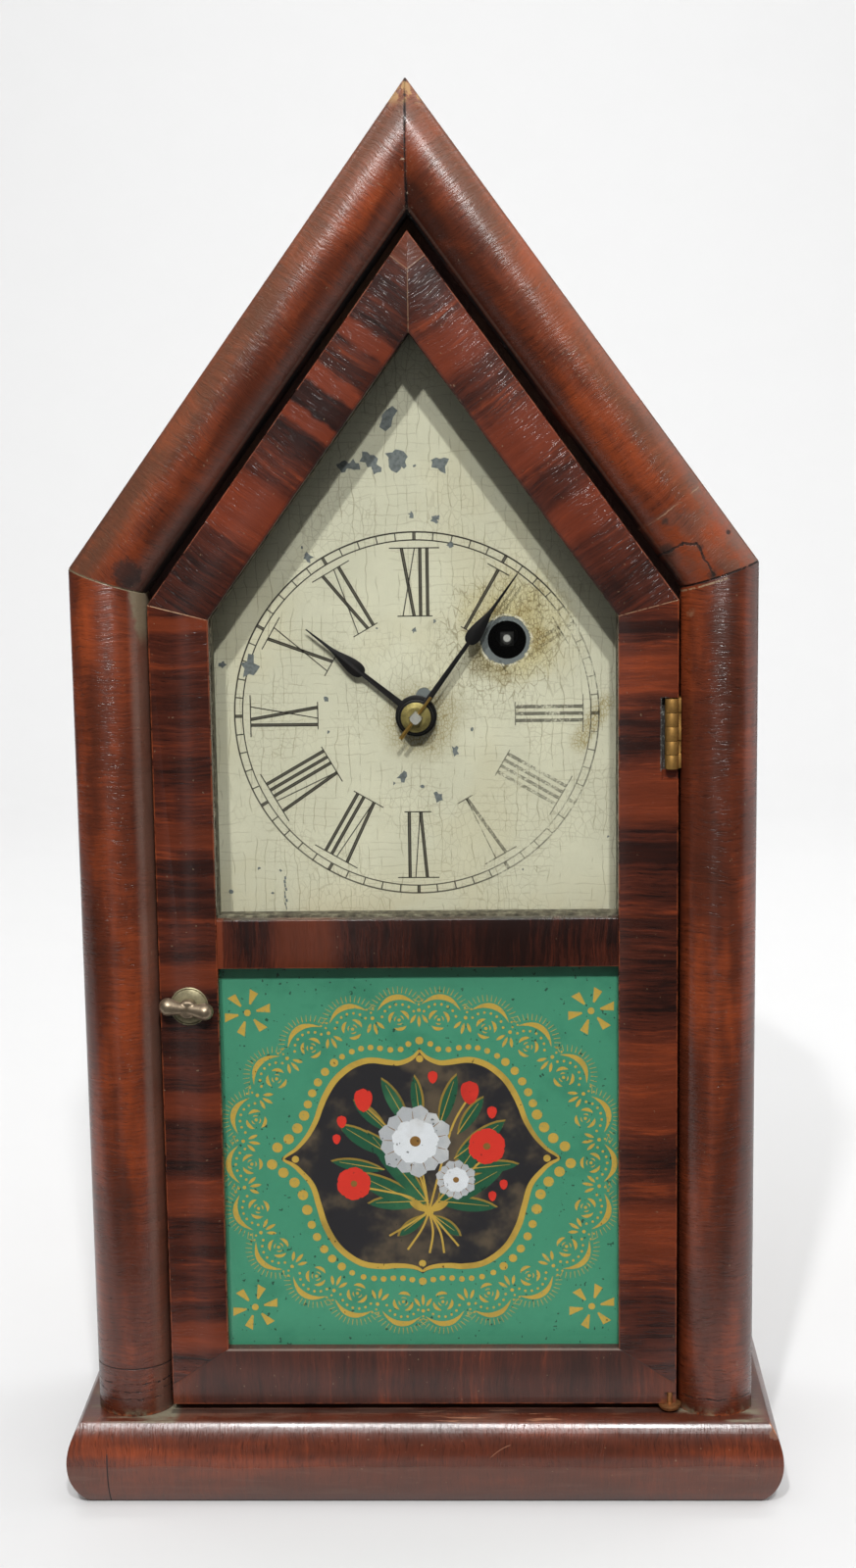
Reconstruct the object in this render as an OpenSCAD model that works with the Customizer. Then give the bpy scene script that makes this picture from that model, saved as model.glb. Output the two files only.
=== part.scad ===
// Steeple clock: a small peaked shelf clock with a glazed door, a painted dial
// and a spring driven movement with a short pendulum.
// The front faces -Y, +Z is up, and the origin is on the floor under the middle of the case.

/* [Case] */
// Height of the case from the floor to the peak
case_h = 381; // [374:1:390]
// Width across the outer faces of the two columns
case_w = 180.8; // [177:0.2:184]
// Depth of the case from the base's fullest front to its back
case_d = 96; // [92:1:108]
// Slope of the roof from level, in degrees
roof_angle = 53.8; // [53.2:0.1:54.4]
// Thickness of the side and roof boards
board_t = 12; // [10:0.5:14]
// Thickness of the back board
back_t = 6; // [4:0.5:8]
// Thickness of the face frame that the door shuts against
frame_t = 5; // [4:0.5:6]
// Width of the face frame's members
frame_w = 24.4; // [23:0.2:26]
// Height of the face frame's bottom member
frame_foot_h = 7.6; // [6:0.2:12]

/* [Half-round mouldings] */
// Width of the half-round mouldings
round_w = 20.2; // [19.4:0.1:21]
// Rise of the half-round above its flat sides
round_rise = 7; // [6:0.1:8]
// How far the mouldings' crown stands in front of the door
crown_proud = 3.2; // [2.6:0.1:3.8]

/* [Base] */
// Width of the base at its fullest
base_w = 196; // [192:1:204]
// Height of the base
base_h = 24; // [22:0.5:26]
// Radius of the base moulding's cushion
cushion_r = 18; // [17:0.5:22]
// Height of the cushion's fullest line above the floor
cushion_z = 12.8; // [11.5:0.1:14]
// Thickness of the base moulding
base_mould_t = 12; // [11:0.5:14]
// How far the base's fullest front stands in front of the door
base_proud = 10; // [9.6:0.2:12]

/* [Door] */
// Thickness of the door
door_t = 11; // [10.6:0.2:12]
// Gap between the door and the columns
door_side_gap = 0.7; // [0.6:0.1:1.2]
// Gap between the door and the roof mouldings, square to the slope
door_roof_gap = 2.3; // [1.5:0.1:3]
// Gap under the door
door_foot_gap = 2.2; // [2:0.1:3]
// Gap between the door's back and the face frame
door_stop_gap = 0.3; // [0.3:0.1:0.8]
// Width of the stiles
stile_w = 15.8; // [15:0.1:17]
// Width of the rafters of the door
rafter_w = 15.1; // [14:0.1:16]
// Height of the bottom rail
foot_rail_h = 16.1; // [15:0.1:18]
// Height of the middle rail
mid_rail_h = 13.2; // [12.4:0.1:15]
// Height of the dial's centre above the middle rail's lower edge
mid_rail_drop = 65.6; // [64.7:0.1:69]
// Height at which the bottom rail's joint meets the door's edge, above the door's foot
foot_joint_h = 5.8; // [5:0.1:8]

/* [Glass] */
// Thickness of the glass
glass_t = 2; // [1.6:0.1:2.4]
// Depth of the glass behind the door's front
glass_set = 3.4; // [2.6:0.1:5]
// Width of the rebate that holds the glass
rebate_w = 4; // [3:0.1:4.2]
// Gap between the glass and the rebate's edge
glass_gap = 0.5; // [0.3:0.1:0.8]
// Depth of the putty's face below the door's back
putty_set = 0.2; // [0.1:0.1:2]
// How far the putty shows inside the opening
putty_in = 0.2; // [0.1:0.1:1.5]

/* [Hinge and pivot] */
// Radius of the hinge barrel
barrel_r = 1.8; // [1.6:0.05:1.9]
// Length of the hinge barrel
barrel_h = 18.7; // [16:0.1:21]
// Distance of the middle of the hinge below the door's shoulder
hinge_drop = 35.26; // [26:0.1:43]
// Distance of the hinge line from the column's inner edge
hinge_in = 2.5; // [2.3:0.1:2.6]
// Depth of the hinge line behind the door's front
hinge_set = 1; // [0.8:0.1:1.1]
// Radius of the hinge pin
hinge_pin_r = 0.75; // [0.6:0.05:0.8]
// Thickness of the hinge leaves
leaf_t = 0.8; // [0.6:0.05:0.8]
// Radius of the pivot screw's head
pivot_head_r = 3.1; // [2.6:0.1:3.2]
// Radius of the pivot screw's shank
pivot_shank_r = 0.8; // [0.6:0.05:0.9]
// Length of the pivot screw's shank
pivot_shank_h = 14; // [10:1:20]

/* [Latch] */
// Distance of the latch from the door's left edge
latch_in = 7.9; // [7.4:0.1:8.2]
// Distance of the latch below the middle rail's lower edge
latch_drop = 10.2; // [8:0.1:14]
// Radius of the latch's round plate
latch_plate_r = 5.2; // [4.6:0.1:5.6]
// Reach of the latch hook from its spindle
hook_reach = 11.4; // [10.6:0.1:12]

/* [Dial] */
// Height of the peak above the dial's centre
dial_drop_z = 165.3; // [163:0.1:169]
// Thickness of the dial sheet
dial_t = 0.6; // [0.4:0.1:1]
// Gap between the face frame's back and the dial
dial_set = 3.7; // [3.4:0.1:4.2]
// Gap between the dial's edge and the face frame's opening
dial_edge_gap = 0.6; // [0.4:0.1:1.5]
// How far the dial reaches below the middle rail's lower edge
dial_drop = 0; // [0:0.5:4]
// Radius of the winding hole
winding_hole_r = 5.2; // [4.6:0.1:6]
// Radius of the hole for the hand arbor
centre_hole_r = 3.4; // [3.2:0.1:4]
// Thickness of the rails that carry the dial
rail_t = 8; // [6:0.5:10]

/* [Hands] */
// Length of the minute hand from the arbor to the tip
minute_l = 47.2; // [44:0.1:48.5]
// Length of the hour hand from the arbor to the tip
hour_l = 37.8; // [34:0.1:40]
// Thickness of the hands
hand_t = 0.6; // [0.4:0.05:0.8]
// Gap between the dial and the hour hand
hour_gap = 2.3; // [1.8:0.1:2.6]
// Gap between the two hands
hand_gap = 2; // [1.8:0.1:2.2]
// Minutes shown, as the angle of the minute hand past twelve
minute_angle = 35.8; // [0:0.1:359]
// Hours shown, as the angle of the hour hand past twelve
hour_angle = 309; // [0:0.5:359]
// Radius of the hand washer
washer_r = 4.05; // [3.6:0.05:4.4]

/* [Movement] */
// Gap between the dial's back and the front plate
plate_set = 15.4; // [15.2:0.1:17]
// Distance between the insides of the two plates
plate_gap = 27.4; // [27.4:0.1:29]
// Thickness of the plates
plate_t = 1.6; // [1.2:0.1:1.8]
// Sideways distance from the hand arbor to the winding arbor
winding_x = 24.7; // [24.2:0.1:26]
// Height of the winding arbor above the hand arbor
winding_rise = 20.1; // [19.6:0.1:21]
// Sideways distance from the hand arbor to the pendulum
pendulum_x = -14; // [-15:0.1:-13.5]
// Height of the escape arbor above the hand arbor
escape_rise = 30; // [29.5:0.1:31]
// Radius of the escape wheel
escape_r = 15.5; // [14.5:0.1:15.8]
// Length of the pendulum from its pivot to the middle of the bob
pendulum_l = 139.8; // [132:0.1:150]
// Radius of the pendulum bob
bob_r = 13; // [11:0.5:15]
// Width of the mainspring strip
spring_w = 17; // [14:0.5:17.5]
// Thickness of the mainspring strip
spring_t = 0.4; // [0.3:0.05:0.5]
// Turns of the mainspring
spring_turns = 9; // [7:1:11]

/* [Hidden] */
$fn = 96;

// Running clearance round pins and pivots
run_fit = 0.05;
// Clearance round nails and screws
nail_fit = 0.02;
// Overlap that carries a cut past a face
eps = 1;

// Case lines, all measured square in from the outer edge of the case front
case_half = case_w / 2;
slope = tan(roof_angle);
function peak(inset) = case_h - inset / cos(roof_angle);
function half(inset) = case_half - inset;
function shoulder(inset) = peak(inset) - slope * half(inset);

// Heights of the dial's centre and of the middle rail's lower edge
dial_z = case_h - dial_drop_z;
mid_rail_z = dial_z - mid_rail_drop;

// Depths, front to back
base_y = -case_d / 2;
back_y = case_d / 2;
door_y = base_y + base_proud;
crown_y = door_y - crown_proud;
chord_y = crown_y + round_rise;
door_back_y = door_y + door_t;
frame_y = door_back_y + door_stop_gap;
side_y = frame_y + frame_t;
dial_y = side_y + dial_set;
rail_y = dial_y + dial_t;
glass_y = door_y + glass_set;
putty_y = glass_y + glass_t;

// Door lines
door_half = half(round_w) - door_side_gap;
door_foot = base_h + door_foot_gap;
door_peak = peak(round_w + door_roof_gap);
door_shoulder = door_peak - slope * door_half;
light_half = door_half - stile_w;
light_peak = door_peak - rafter_w / cos(roof_angle);
light_shoulder = light_peak - slope * light_half;
light_foot = mid_rail_z + mid_rail_h;
tablet_foot = door_foot + foot_rail_h;

// Hinge and pivot line
hinge_x = half(round_w) - hinge_in;
hinge_y = door_y + hinge_set;
hinge_z = door_shoulder - hinge_drop;
knuckles = 5;
knuckle_gap = 0.1;
knuckle_h = barrel_h / knuckles;
hinge_foot = hinge_z - barrel_h / 2;
recess_clear = 0.3;
recess_below = 2.8;
leaf_gap = 0.1;
leaf_depth = 8.2;
case_leaf_x = half(round_w) - leaf_t;
door_leaf_x = case_leaf_x - leaf_gap - leaf_t;
door_leaf_y = hinge_y + barrel_r + recess_clear;
leaf_back_y = hinge_y + leaf_depth;
hinge_screw_r = 0.7;
hinge_screw_head_r = 1.3;
hinge_screw_l = 7;
hinge_screw_dz = 5.5;
hinge_screw_y = (door_leaf_y + leaf_back_y) / 2;
hinge_screw_head_t = 0.35;

// Latch
latch_x = -door_half + latch_in;
latch_z = mid_rail_z - latch_drop;
spindle_r = 1.5;
hook_w = 3;
hook_t = 1.5;
hook_hub_r = 3;
hook_clear = 0.5;
hook_y = door_back_y - 1 - hook_t;
latch_plate_t = 0.8;

// Dial outline
dial_inset = frame_w + dial_edge_gap;
dial_foot = mid_rail_z - dial_drop;
rail_in = 7;
rail_top = shoulder(board_t) - 8;
block_h = 40;
nail_r = 0.5;
nail_head_r = 1.1;
nail_head_t = 0.5;
nail_l = 6;
nail_in = 3;

// Hands and hand arbor
hour_y = dial_y - hour_gap - hand_t;
minute_y = hour_y - hand_gap - hand_t;
washer_t = 0.8;
washer_y = minute_y - washer_t;
arbor_r = 1.9;
arbor_square = 2.7;
arbor_tip_y = washer_y - 2.4;
pipe_r = 2.9;
pipe_wall = 0.92;
hub_hour_r = 5.6;
hub_hour_t = 1.3;
hub_minute_r = 4.7;
pin_angle = 53.7;
pin_l = 14;
pin_thin_r = 0.32;
pin_thick_r = 0.55;
pin_y = washer_y - 0.7;

// Movement depths
front_y = rail_y + plate_set;
inner_y = front_y + plate_t;
back_in_y = inner_y + plate_gap;
plate_back_y = back_in_y + plate_t;
board_y = back_y - back_t;

// Movement arbors, as places beside and above the hand arbor
centre = [0, 0];
winding = [winding_x, winding_rise];
escape = [pendulum_x, escape_rise];
great_teeth = 48;
centre_leaves = 8;
centre_teeth = 72;
third_leaves = 6;
third_teeth = 60;
escape_leaves = 6;
escape_teeth = 40;
great_module = 2 * norm(winding) / (great_teeth + centre_leaves);
centre_module = 0.6;
third_module = 0.55;
centre_third = centre_module * (centre_teeth + third_leaves) / 2;
third_escape = third_module * (third_teeth + escape_leaves) / 2;
function place_angle(v) = atan2(v[1], v[0]);
// The point at ra from a and rb from b, on the left of the way from a to b
function meet(a, ra, b, rb) =
    let (d = norm(b - a), u = (b - a) / d, k = (ra * ra - rb * rb + d * d) / (2 * d))
    a + k * u + sqrt(ra * ra - k * k) * [-u[1], u[0]];
third = meet(centre, centre_third, escape, third_escape);
// Turn of a driven wheel that meshes with a driver turned by a, which lies at angle way from it
function mesh_turn(way, a, driver, driven) =
    way + 180 - 180 / driven + (way - a) * driver / driven;
great_turn = 0;
centre_leaf_turn = mesh_turn(place_angle(centre - winding), great_turn, great_teeth, centre_leaves);
centre_wheel_turn = centre_leaf_turn;
third_leaf_turn = mesh_turn(place_angle(third - centre), centre_wheel_turn, centre_teeth, third_leaves);
third_wheel_turn = third_leaf_turn;
escape_leaf_turn = mesh_turn(place_angle(escape - third), third_wheel_turn, third_teeth, escape_leaves);

// Motion work in front of the front plate
cannon_leaves = 12;
minute_teeth = 36;
minute_leaves = 10;
hour_teeth = 40;
cannon_module = 0.55;
stud_angle = -50;
stud_distance = cannon_module * (cannon_leaves + minute_teeth) / 2;
hour_module = 2 * stud_distance / (minute_leaves + hour_teeth);
minute_place = stud_distance * [cos(stud_angle), sin(stud_angle)];
cannon_turn = 0;
minute_wheel_turn = mesh_turn(stud_angle, cannon_turn, cannon_leaves, minute_teeth);
hour_wheel_turn = mesh_turn(stud_angle + 180, minute_wheel_turn, minute_leaves, hour_teeth);
stud_r = 1;
minute_wheel_y = front_y - 3;
hour_wheel_y = front_y - 6;
motion_t = 1;

// Plates
plate_left = -40;
plate_right = 46;
plate_low = -40;
plate_high = 60;
plate_corner = 4;
window_side_in = 10;
window_foot_in = 6;
window_top_in = 5;
window_low_h = 20;
window_left_w = 22;
window_right_w = 16;
window_high_h = 9;
window_high_w = 30;
window_corner = 4;
pillar_in = 5;
pillar_r = 3.2;
pillar_waist_r = 2.2;
pillar_end_r = 1.8;
lug_reach = 7;
lug_r = 5;
lug_z = [-22, 40];
batten_h = 12;
screw_r = 1.4;
screw_head_r = 3;
screw_head_t = 1.2;
screw_share = 0.67;
screw_l = screw_share * (board_y - plate_back_y);
pillars = [for (x = [plate_left + pillar_in, plate_right - pillar_in])
    for (z = [plate_low + pillar_in, plate_high - pillar_in]) [x, z]];
lugs = [for (side = [-1, 1]) for (z = lug_z)
    [side < 0 ? plate_left - lug_reach : plate_right + lug_reach, z]];

// Train depths
great_y = inner_y + 3.4;
great_t = 1.8;
ratchet_y = inner_y + 1;
ratchet_t = 1.7;
ratchet_r = 9.5;
ratchet_teeth = 20;
winding_r = 3;
winding_square = 3.6;
winding_tip_y = dial_y + 0.3;
click_reach = 17;
click_place = winding - [click_reach, 0];
click_ride = 0.2;
click_l = 11;
click_hub_r = 2.4;
centre_wheel_y = back_in_y - 2.8;
wheel_t = 1;
third_wheel_y = inner_y + 14;
escape_wheel_y = front_y - 4;
escape_wheel_t = 0.8;
train_arbor_r = 0.8;
pivot_r = 0.45;
shroud_t = 0.6;

// Mainspring
spring_y = great_y + great_t + 2;
spring_in_r = winding_r + 0.5;
spring_out_r = 23;
spring_pillar = pillars[3];
spring_steps = 20;

// Escapement and pendulum
verge_rise = escape_r + 3.5;
verge = escape + [0, verge_rise];
verge_swing = 4;
verge_arm_r = 1.7;
bridge_y = front_y - 6.2;
bridge_t = 1.2;
bridge_r = 3;
bridge_reach = 18.8;
bridge_angle = 155;
post_z = verge[1] + 6;
post = [pendulum_x, post_z];
post_r = 2.2;
rod_y = front_y - 10.8;
rod_r = 0.6;
crutch_y = front_y - 8.35;
crutch_r = 0.55;
crutch_l = 30;
crutch_drop = 1.9;
ribbon_w = 2.6;
ribbon_t = 0.25;
ribbon_l = 12;
bob_t = 8;
bob_rim_t = 2.4;

// Shared shapes

// Raises a front view drawing, in X and Z, into a slab from depth y0 to y1
module slab(y0, y1) {
    translate([0, y1, 0]) rotate([90, 0, 0]) linear_extrude(y1 - y0) children();
}

// A round bar along Y at place p, from depth y0 to y1
module bar(p, r, y0, y1) {
    slab(y0, y1) translate(p) circle(r);
}

// Shifts a movement drawing so that its origin is the hand arbor
module at_dial() {
    translate([0, 0, dial_z]) children();
}

// A point carried past a, away from b
function beyond(a, b, k = 0.3) = a + k * (a - b);

// The peaked outline inside the case, inset square from the case's outer edge
function peaked(inset, foot) = [
    [-half(inset), foot], [half(inset), foot], [half(inset), shoulder(inset)],
    [0, peak(inset)], [-half(inset), shoulder(inset)]];

// The upper light's outline, grown square by g
function upper_light(g) = [
    [-light_half - g, light_foot - g], [light_half + g, light_foot - g],
    [light_half + g, light_peak + g / cos(roof_angle) - slope * (light_half + g)],
    [0, light_peak + g / cos(roof_angle)],
    [-light_half - g, light_peak + g / cos(roof_angle) - slope * (light_half + g)]];

// The lower light's outline, grown square by g
function lower_light(g) = [
    [-light_half - g, tablet_foot - g], [light_half + g, tablet_foot - g],
    [light_half + g, mid_rail_z + g], [-light_half - g, mid_rail_z + g]];

// Base

// Section of the base moulding, with its fullest line at zero and its back at -base_mould_t
module cushion_section() {
    intersection() {
        translate([-cushion_r, cushion_z]) circle(cushion_r);
        translate([-base_mould_t, 0]) square([base_mould_t, base_h]);
    }
}

module base_plinth() {
    color("sienna")
    translate([-base_w / 2 + base_mould_t, base_y + base_mould_t, 0])
        cube([base_w - 2 * base_mould_t, case_d - base_mould_t, base_h]);
}

module base_front_moulding() {
    corner = [base_w / 2, base_y];
    inner = corner + base_mould_t * [-1, 1];
    out = beyond(corner, inner);
    color("saddlebrown")
    intersection() {
        translate([-base_w / 2, base_y, 0]) rotate([90, 0, 90])
            linear_extrude(base_w) mirror([1, 0]) cushion_section();
        translate([0, 0, -eps]) linear_extrude(base_h + 2 * eps)
            polygon([[-out[0], out[1]], out, inner, [-inner[0], inner[1]]]);
    }
}

module base_end_moulding() {
    corner = [base_w / 2, base_y];
    inner = corner + base_mould_t * [-1, 1];
    out = beyond(corner, inner);
    intersection() {
        slab(base_y, back_y) translate([base_w / 2, 0]) cushion_section();
        translate([0, 0, -eps]) linear_extrude(base_h + 2 * eps)
            polygon([inner, out, [out[0], back_y + eps], [inner[0], back_y + eps]]);
    }
}

module base_end_mouldings() {
    color("saddlebrown") {
        base_end_moulding();
        mirror([1, 0, 0]) base_end_moulding();
    }
}

// Case boards

module side_board() {
    slab(side_y, back_y)
        polygon([[half(board_t), base_h], [half(0), base_h],
            [half(0), shoulder(0)], [half(board_t), shoulder(board_t)]]);
}

module roof_board() {
    slab(side_y, back_y)
        polygon([[half(board_t), shoulder(board_t)], [half(0), shoulder(0)],
            [0, peak(0)], [0, peak(board_t)]]);
}

module left_side() { color("peru") mirror([1, 0, 0]) side_board(); }
module right_side() { color("peru") side_board(); }
module left_roof_board() { color("peru") mirror([1, 0, 0]) roof_board(); }
module right_roof_board() { color("peru") roof_board(); }

module back_board() {
    color("burlywood") slab(board_y, back_y) polygon(peaked(board_t, base_h));
}

module face_frame() {
    color("sienna")
    slab(frame_y, side_y) difference() {
        polygon(peaked(0, base_h));
        polygon(peaked(frame_w, base_h + frame_foot_h));
    }
}

// Half-round mouldings

// Section of the half-round, u across it and v in depth
module round_section() {
    r = (round_w * round_w / 4 + round_rise * round_rise) / (2 * round_rise);
    intersection() {
        translate([0, crown_y + r]) circle(r);
        translate([-round_w, crown_y - eps]) square([2 * round_w, round_rise + eps]);
    }
    translate([-round_w / 2, chord_y]) square([round_w, frame_y - chord_y]);
}

// The wedge that cuts a moulding's mitres, as a front view outline
module mitre_cut(points) {
    slab(crown_y - eps, frame_y + eps) polygon(points);
}

module column_moulding() {
    a = [half(0), shoulder(0)];
    b = [half(round_w), shoulder(round_w)];
    intersection() {
        translate([half(round_w / 2), 0, base_h]) linear_extrude(case_h) round_section();
        mitre_cut([beyond(a, b), beyond(b, a), [beyond(b, a)[0], base_h - eps],
            [beyond(a, b)[0], base_h - eps]]);
    }
}

module roof_moulding() {
    a = [half(0), shoulder(0)];
    b = [half(round_w), shoulder(round_w)];
    run = (a - [0, peak(0)]);
    intersection() {
        translate([0, 0, peak(0)]) rotate([0, 90 + roof_angle, 0])
            translate([round_w / 2, 0, -round_w]) linear_extrude(norm(run) + 2 * round_w)
            round_section();
        mitre_cut([beyond(a, b), [case_h, peak(0)], [0, peak(0) + round_w],
            [0, peak(round_w) - round_w], beyond(b, a)]);
    }
}

// The slot in the left column's inner side that the latch hook turns into
module latch_keeper() {
    translate([latch_x - hook_reach - 2 * hook_clear, hook_y - hook_clear, latch_z - hook_reach + 3])
        cube([hook_reach, hook_t + 2 * hook_clear, hook_reach - 3 + hook_w / 2 + 2 * hook_clear]);
}

module left_column_moulding() {
    color("saddlebrown") difference() {
        mirror([1, 0, 0]) column_moulding();
        latch_keeper();
    }
}

module right_column_moulding() {
    color("saddlebrown") difference() {
        column_moulding();
        hinge_screw_holes(half(round_w), 1);
    }
}

module left_roof_moulding() { color("saddlebrown") mirror([1, 0, 0]) roof_moulding(); }
module right_roof_moulding() { color("saddlebrown") roof_moulding(); }

// Dial and what carries it

nails = [for (side = [-1, 1]) for (z = [dial_foot + 12, dial_z, rail_top - 6])
    [side * (half(dial_inset) - nail_in), z]];

module nail_holes() {
    for (p = nails) bar(p, nail_r + nail_fit, dial_y - eps, dial_y + nail_l);
}

module dial_supports() {
    top = peak(board_t) - block_h;
    color("peru") difference() {
        slab(rail_y, rail_y + rail_t) {
            for (side = [0, 1]) mirror([side, 0])
                translate([half(dial_inset) - rail_in, dial_foot])
                    square([half(board_t) - half(dial_inset) + rail_in, rail_top - dial_foot]);
            polygon([[-block_h / slope, top], [block_h / slope, top], [0, peak(board_t)]]);
        }
        nail_holes();
    }
}

module dial_plate() {
    color("honeydew") slab(dial_y, rail_y) difference() {
        polygon(peaked(dial_inset, dial_foot));
        translate([0, dial_z]) circle(centre_hole_r);
        translate([0, dial_z] + winding) circle(winding_hole_r);
        for (p = nails) translate(p) circle(nail_r + nail_fit);
    }
}

module dial_nails() {
    color("goldenrod") for (p = nails) {
        bar(p, nail_r, dial_y - nail_head_t / 2, dial_y + nail_l - nail_fit);
        bar(p, nail_head_r, dial_y - nail_head_t, dial_y);
    }
}

// Hinge

module knuckle(i) {
    translate([hinge_x, hinge_y, hinge_foot + i * knuckle_h + knuckle_gap / 2])
        cylinder(r = barrel_r, h = knuckle_h - knuckle_gap);
}

module barrel_bore() {
    translate([hinge_x, hinge_y, hinge_foot - eps])
        cylinder(r = hinge_pin_r + run_fit, h = barrel_h + 2 * eps);
}

// Holes for a leaf's two screws: shanks run from x into the wood, along dir
module hinge_screw_holes(x, dir) {
    for (dz = [-1, 1]) translate([x, hinge_screw_y, hinge_z + dz * hinge_screw_dz])
        rotate([0, 90 * dir, 0]) translate([0, 0, -leaf_t - eps])
            cylinder(r = hinge_screw_r + nail_fit, h = hinge_screw_l + leaf_t + eps);
}

// Countersinks for the screw heads in a leaf whose open face is at x
module hinge_screw_seats(x, dir) {
    for (dz = [-1, 1]) translate([x, hinge_screw_y, hinge_z + dz * hinge_screw_dz])
        rotate([0, 90 * dir, 0]) translate([0, 0, -eps])
            cylinder(r = hinge_screw_head_r + nail_fit, h = hinge_screw_head_t + eps);
}

module hinge_screws(x, dir) {
    for (dz = [-1, 1]) translate([x, hinge_screw_y, hinge_z + dz * hinge_screw_dz])
        rotate([0, 90 * dir, 0]) {
            cylinder(r = hinge_screw_head_r, h = hinge_screw_head_t);
            cylinder(r = hinge_screw_r, h = hinge_screw_l);
        }
}

module hinge_case_leaf() {
    color("goldenrod") difference() {
        union() {
            for (i = [0:2:knuckles - 1]) {
                knuckle(i);
                translate([hinge_x + 0.9, hinge_y + 0.4, hinge_foot + i * knuckle_h + knuckle_gap / 2])
                    cube([half(round_w) - hinge_x - 0.9, leaf_t, knuckle_h - knuckle_gap]);
            }
            translate([case_leaf_x, hinge_y + 1, hinge_foot])
                cube([leaf_t, leaf_depth - 1, barrel_h]);
        }
        barrel_bore();
        hinge_screw_holes(half(round_w), 1);
        hinge_screw_seats(case_leaf_x, 1);
    }
}

module hinge_door_leaf() {
    color("goldenrod") difference() {
        union() {
            for (i = [1:2:knuckles - 1]) {
                knuckle(i);
                translate([door_leaf_x, hinge_y, hinge_foot + i * knuckle_h + knuckle_gap / 2])
                    cube([leaf_t, barrel_r + recess_clear + leaf_t, knuckle_h - knuckle_gap]);
            }
            translate([door_leaf_x, door_leaf_y, hinge_foot])
                cube([leaf_t, leaf_back_y - door_leaf_y, barrel_h]);
        }
        barrel_bore();
        hinge_screw_holes(door_leaf_x, -1);
        hinge_screw_seats(door_leaf_x + leaf_t, -1);
    }
}

module hinge_case_screws() { color("gold") hinge_screws(case_leaf_x, 1); }
module hinge_door_screws() { color("gold") hinge_screws(door_leaf_x + leaf_t, -1); }

module hinge_pin() {
    color("darkgoldenrod") translate([hinge_x, hinge_y, hinge_foot])
        cylinder(r = hinge_pin_r, h = barrel_h);
}

// Door

// The space cut from the door's edge for the hinge
module hinge_recess() {
    translate([hinge_x - barrel_r - 0.9, door_y - eps, hinge_foot - recess_below])
        cube([barrel_r + 5, hinge_set + barrel_r + recess_clear + eps,
            barrel_h + recess_below + recess_clear]);
    translate([door_leaf_x, door_y, hinge_foot - nail_fit])
        cube([2 * leaf_t + eps, leaf_back_y - door_y, barrel_h + 2 * nail_fit]);
    hinge_screw_holes(door_leaf_x, -1);
}

// The hole and the worn notch for the pivot screw in the door's bottom corner
module pivot_hole() {
    translate([hinge_x, hinge_y, door_foot - eps])
        cylinder(r = pivot_shank_r + nail_fit, h = pivot_shank_h + eps);
    translate([hinge_x - 1.4, door_y - eps, door_foot - eps])
        cube([6, hinge_set + eps, 3.4 + eps]);
}

// The spindle hole and the pocket in the door's back that the latch hook turns in
module latch_cut() {
    bar([latch_x, latch_z], spindle_r + run_fit, door_y - eps, door_back_y + eps);
    sweep_r = hook_reach + 2 * hook_clear;
    slab(hook_y - hook_clear, door_back_y + eps) {
        translate([latch_x, latch_z]) circle(hook_hub_r + 0.3);
        intersection() {
            translate([latch_x, latch_z]) circle(sweep_r);
            translate([latch_x - sweep_r, latch_z - sweep_r])
                square([sweep_r + hook_w / 2 + hook_clear, sweep_r + hook_w / 2 + hook_clear]);
        }
    }
}

// A flat door member with the two glass rebates cut from its back
module door_member(points) {
    difference() {
        slab(door_y, door_back_y) polygon(points);
        slab(glass_y, door_back_y + eps) {
            polygon(upper_light(rebate_w));
            polygon(lower_light(rebate_w));
        }
    }
}

stile_points = [
    [light_half, tablet_foot], [door_half, door_foot + foot_joint_h],
    [door_half, door_shoulder], [light_half, light_shoulder]];
rafter_points = [
    [light_half, light_shoulder], [door_half, door_shoulder], [0, door_peak], [0, light_peak]];

module door_left_stile() {
    color("brown") difference() {
        mirror([1, 0, 0]) door_member(stile_points);
        latch_cut();
    }
}

module door_right_stile() {
    color("brown") difference() {
        door_member(stile_points);
        hinge_recess();
        pivot_hole();
    }
}

module door_left_rafter() { color("brown") mirror([1, 0, 0]) door_member(rafter_points); }
module door_right_rafter() { color("brown") door_member(rafter_points); }

module door_mid_rail() {
    color("brown") door_member([
        [-light_half, mid_rail_z], [light_half, mid_rail_z],
        [light_half, light_foot], [-light_half, light_foot]]);
}

module door_bottom_rail() {
    color("brown") difference() {
        door_member([
            [-door_half, door_foot], [door_half, door_foot], [door_half, door_foot + foot_joint_h],
            [light_half, tablet_foot], [-light_half, tablet_foot],
            [-door_half, door_foot + foot_joint_h]]);
        pivot_hole();
    }
}

module upper_glass() {
    color("azure", 0.35) slab(glass_y, putty_y) polygon(upper_light(rebate_w - glass_gap));
}

module lower_tablet() {
    color("seagreen") slab(glass_y, putty_y) polygon(lower_light(rebate_w - glass_gap));
}

module glazing_putty() {
    color("dimgray") slab(putty_y, door_back_y - putty_set) {
        difference() {
            polygon(upper_light(rebate_w));
            polygon(upper_light(-putty_in));
        }
        difference() {
            polygon(lower_light(rebate_w));
            polygon(lower_light(-putty_in));
        }
    }
}

module pivot_screw() {
    head_foot = base_h + 0.15;
    head_h = door_foot - head_foot;
    rim_h = 0.5;
    color("goldenrod") translate([hinge_x, hinge_y, head_foot]) {
        rotate_extrude() {
            polygon([[0, 0], [pivot_head_r * 0.45, 0], [pivot_head_r * 0.85, (head_h - rim_h) * 0.45],
                [pivot_head_r, head_h - rim_h], [pivot_head_r, head_h], [0, head_h]]);
        }
        translate([0, 0, head_h / 2]) cylinder(r = pivot_shank_r, h = head_h / 2 + pivot_shank_h - 0.2);
    }
}

// Latch

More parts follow.
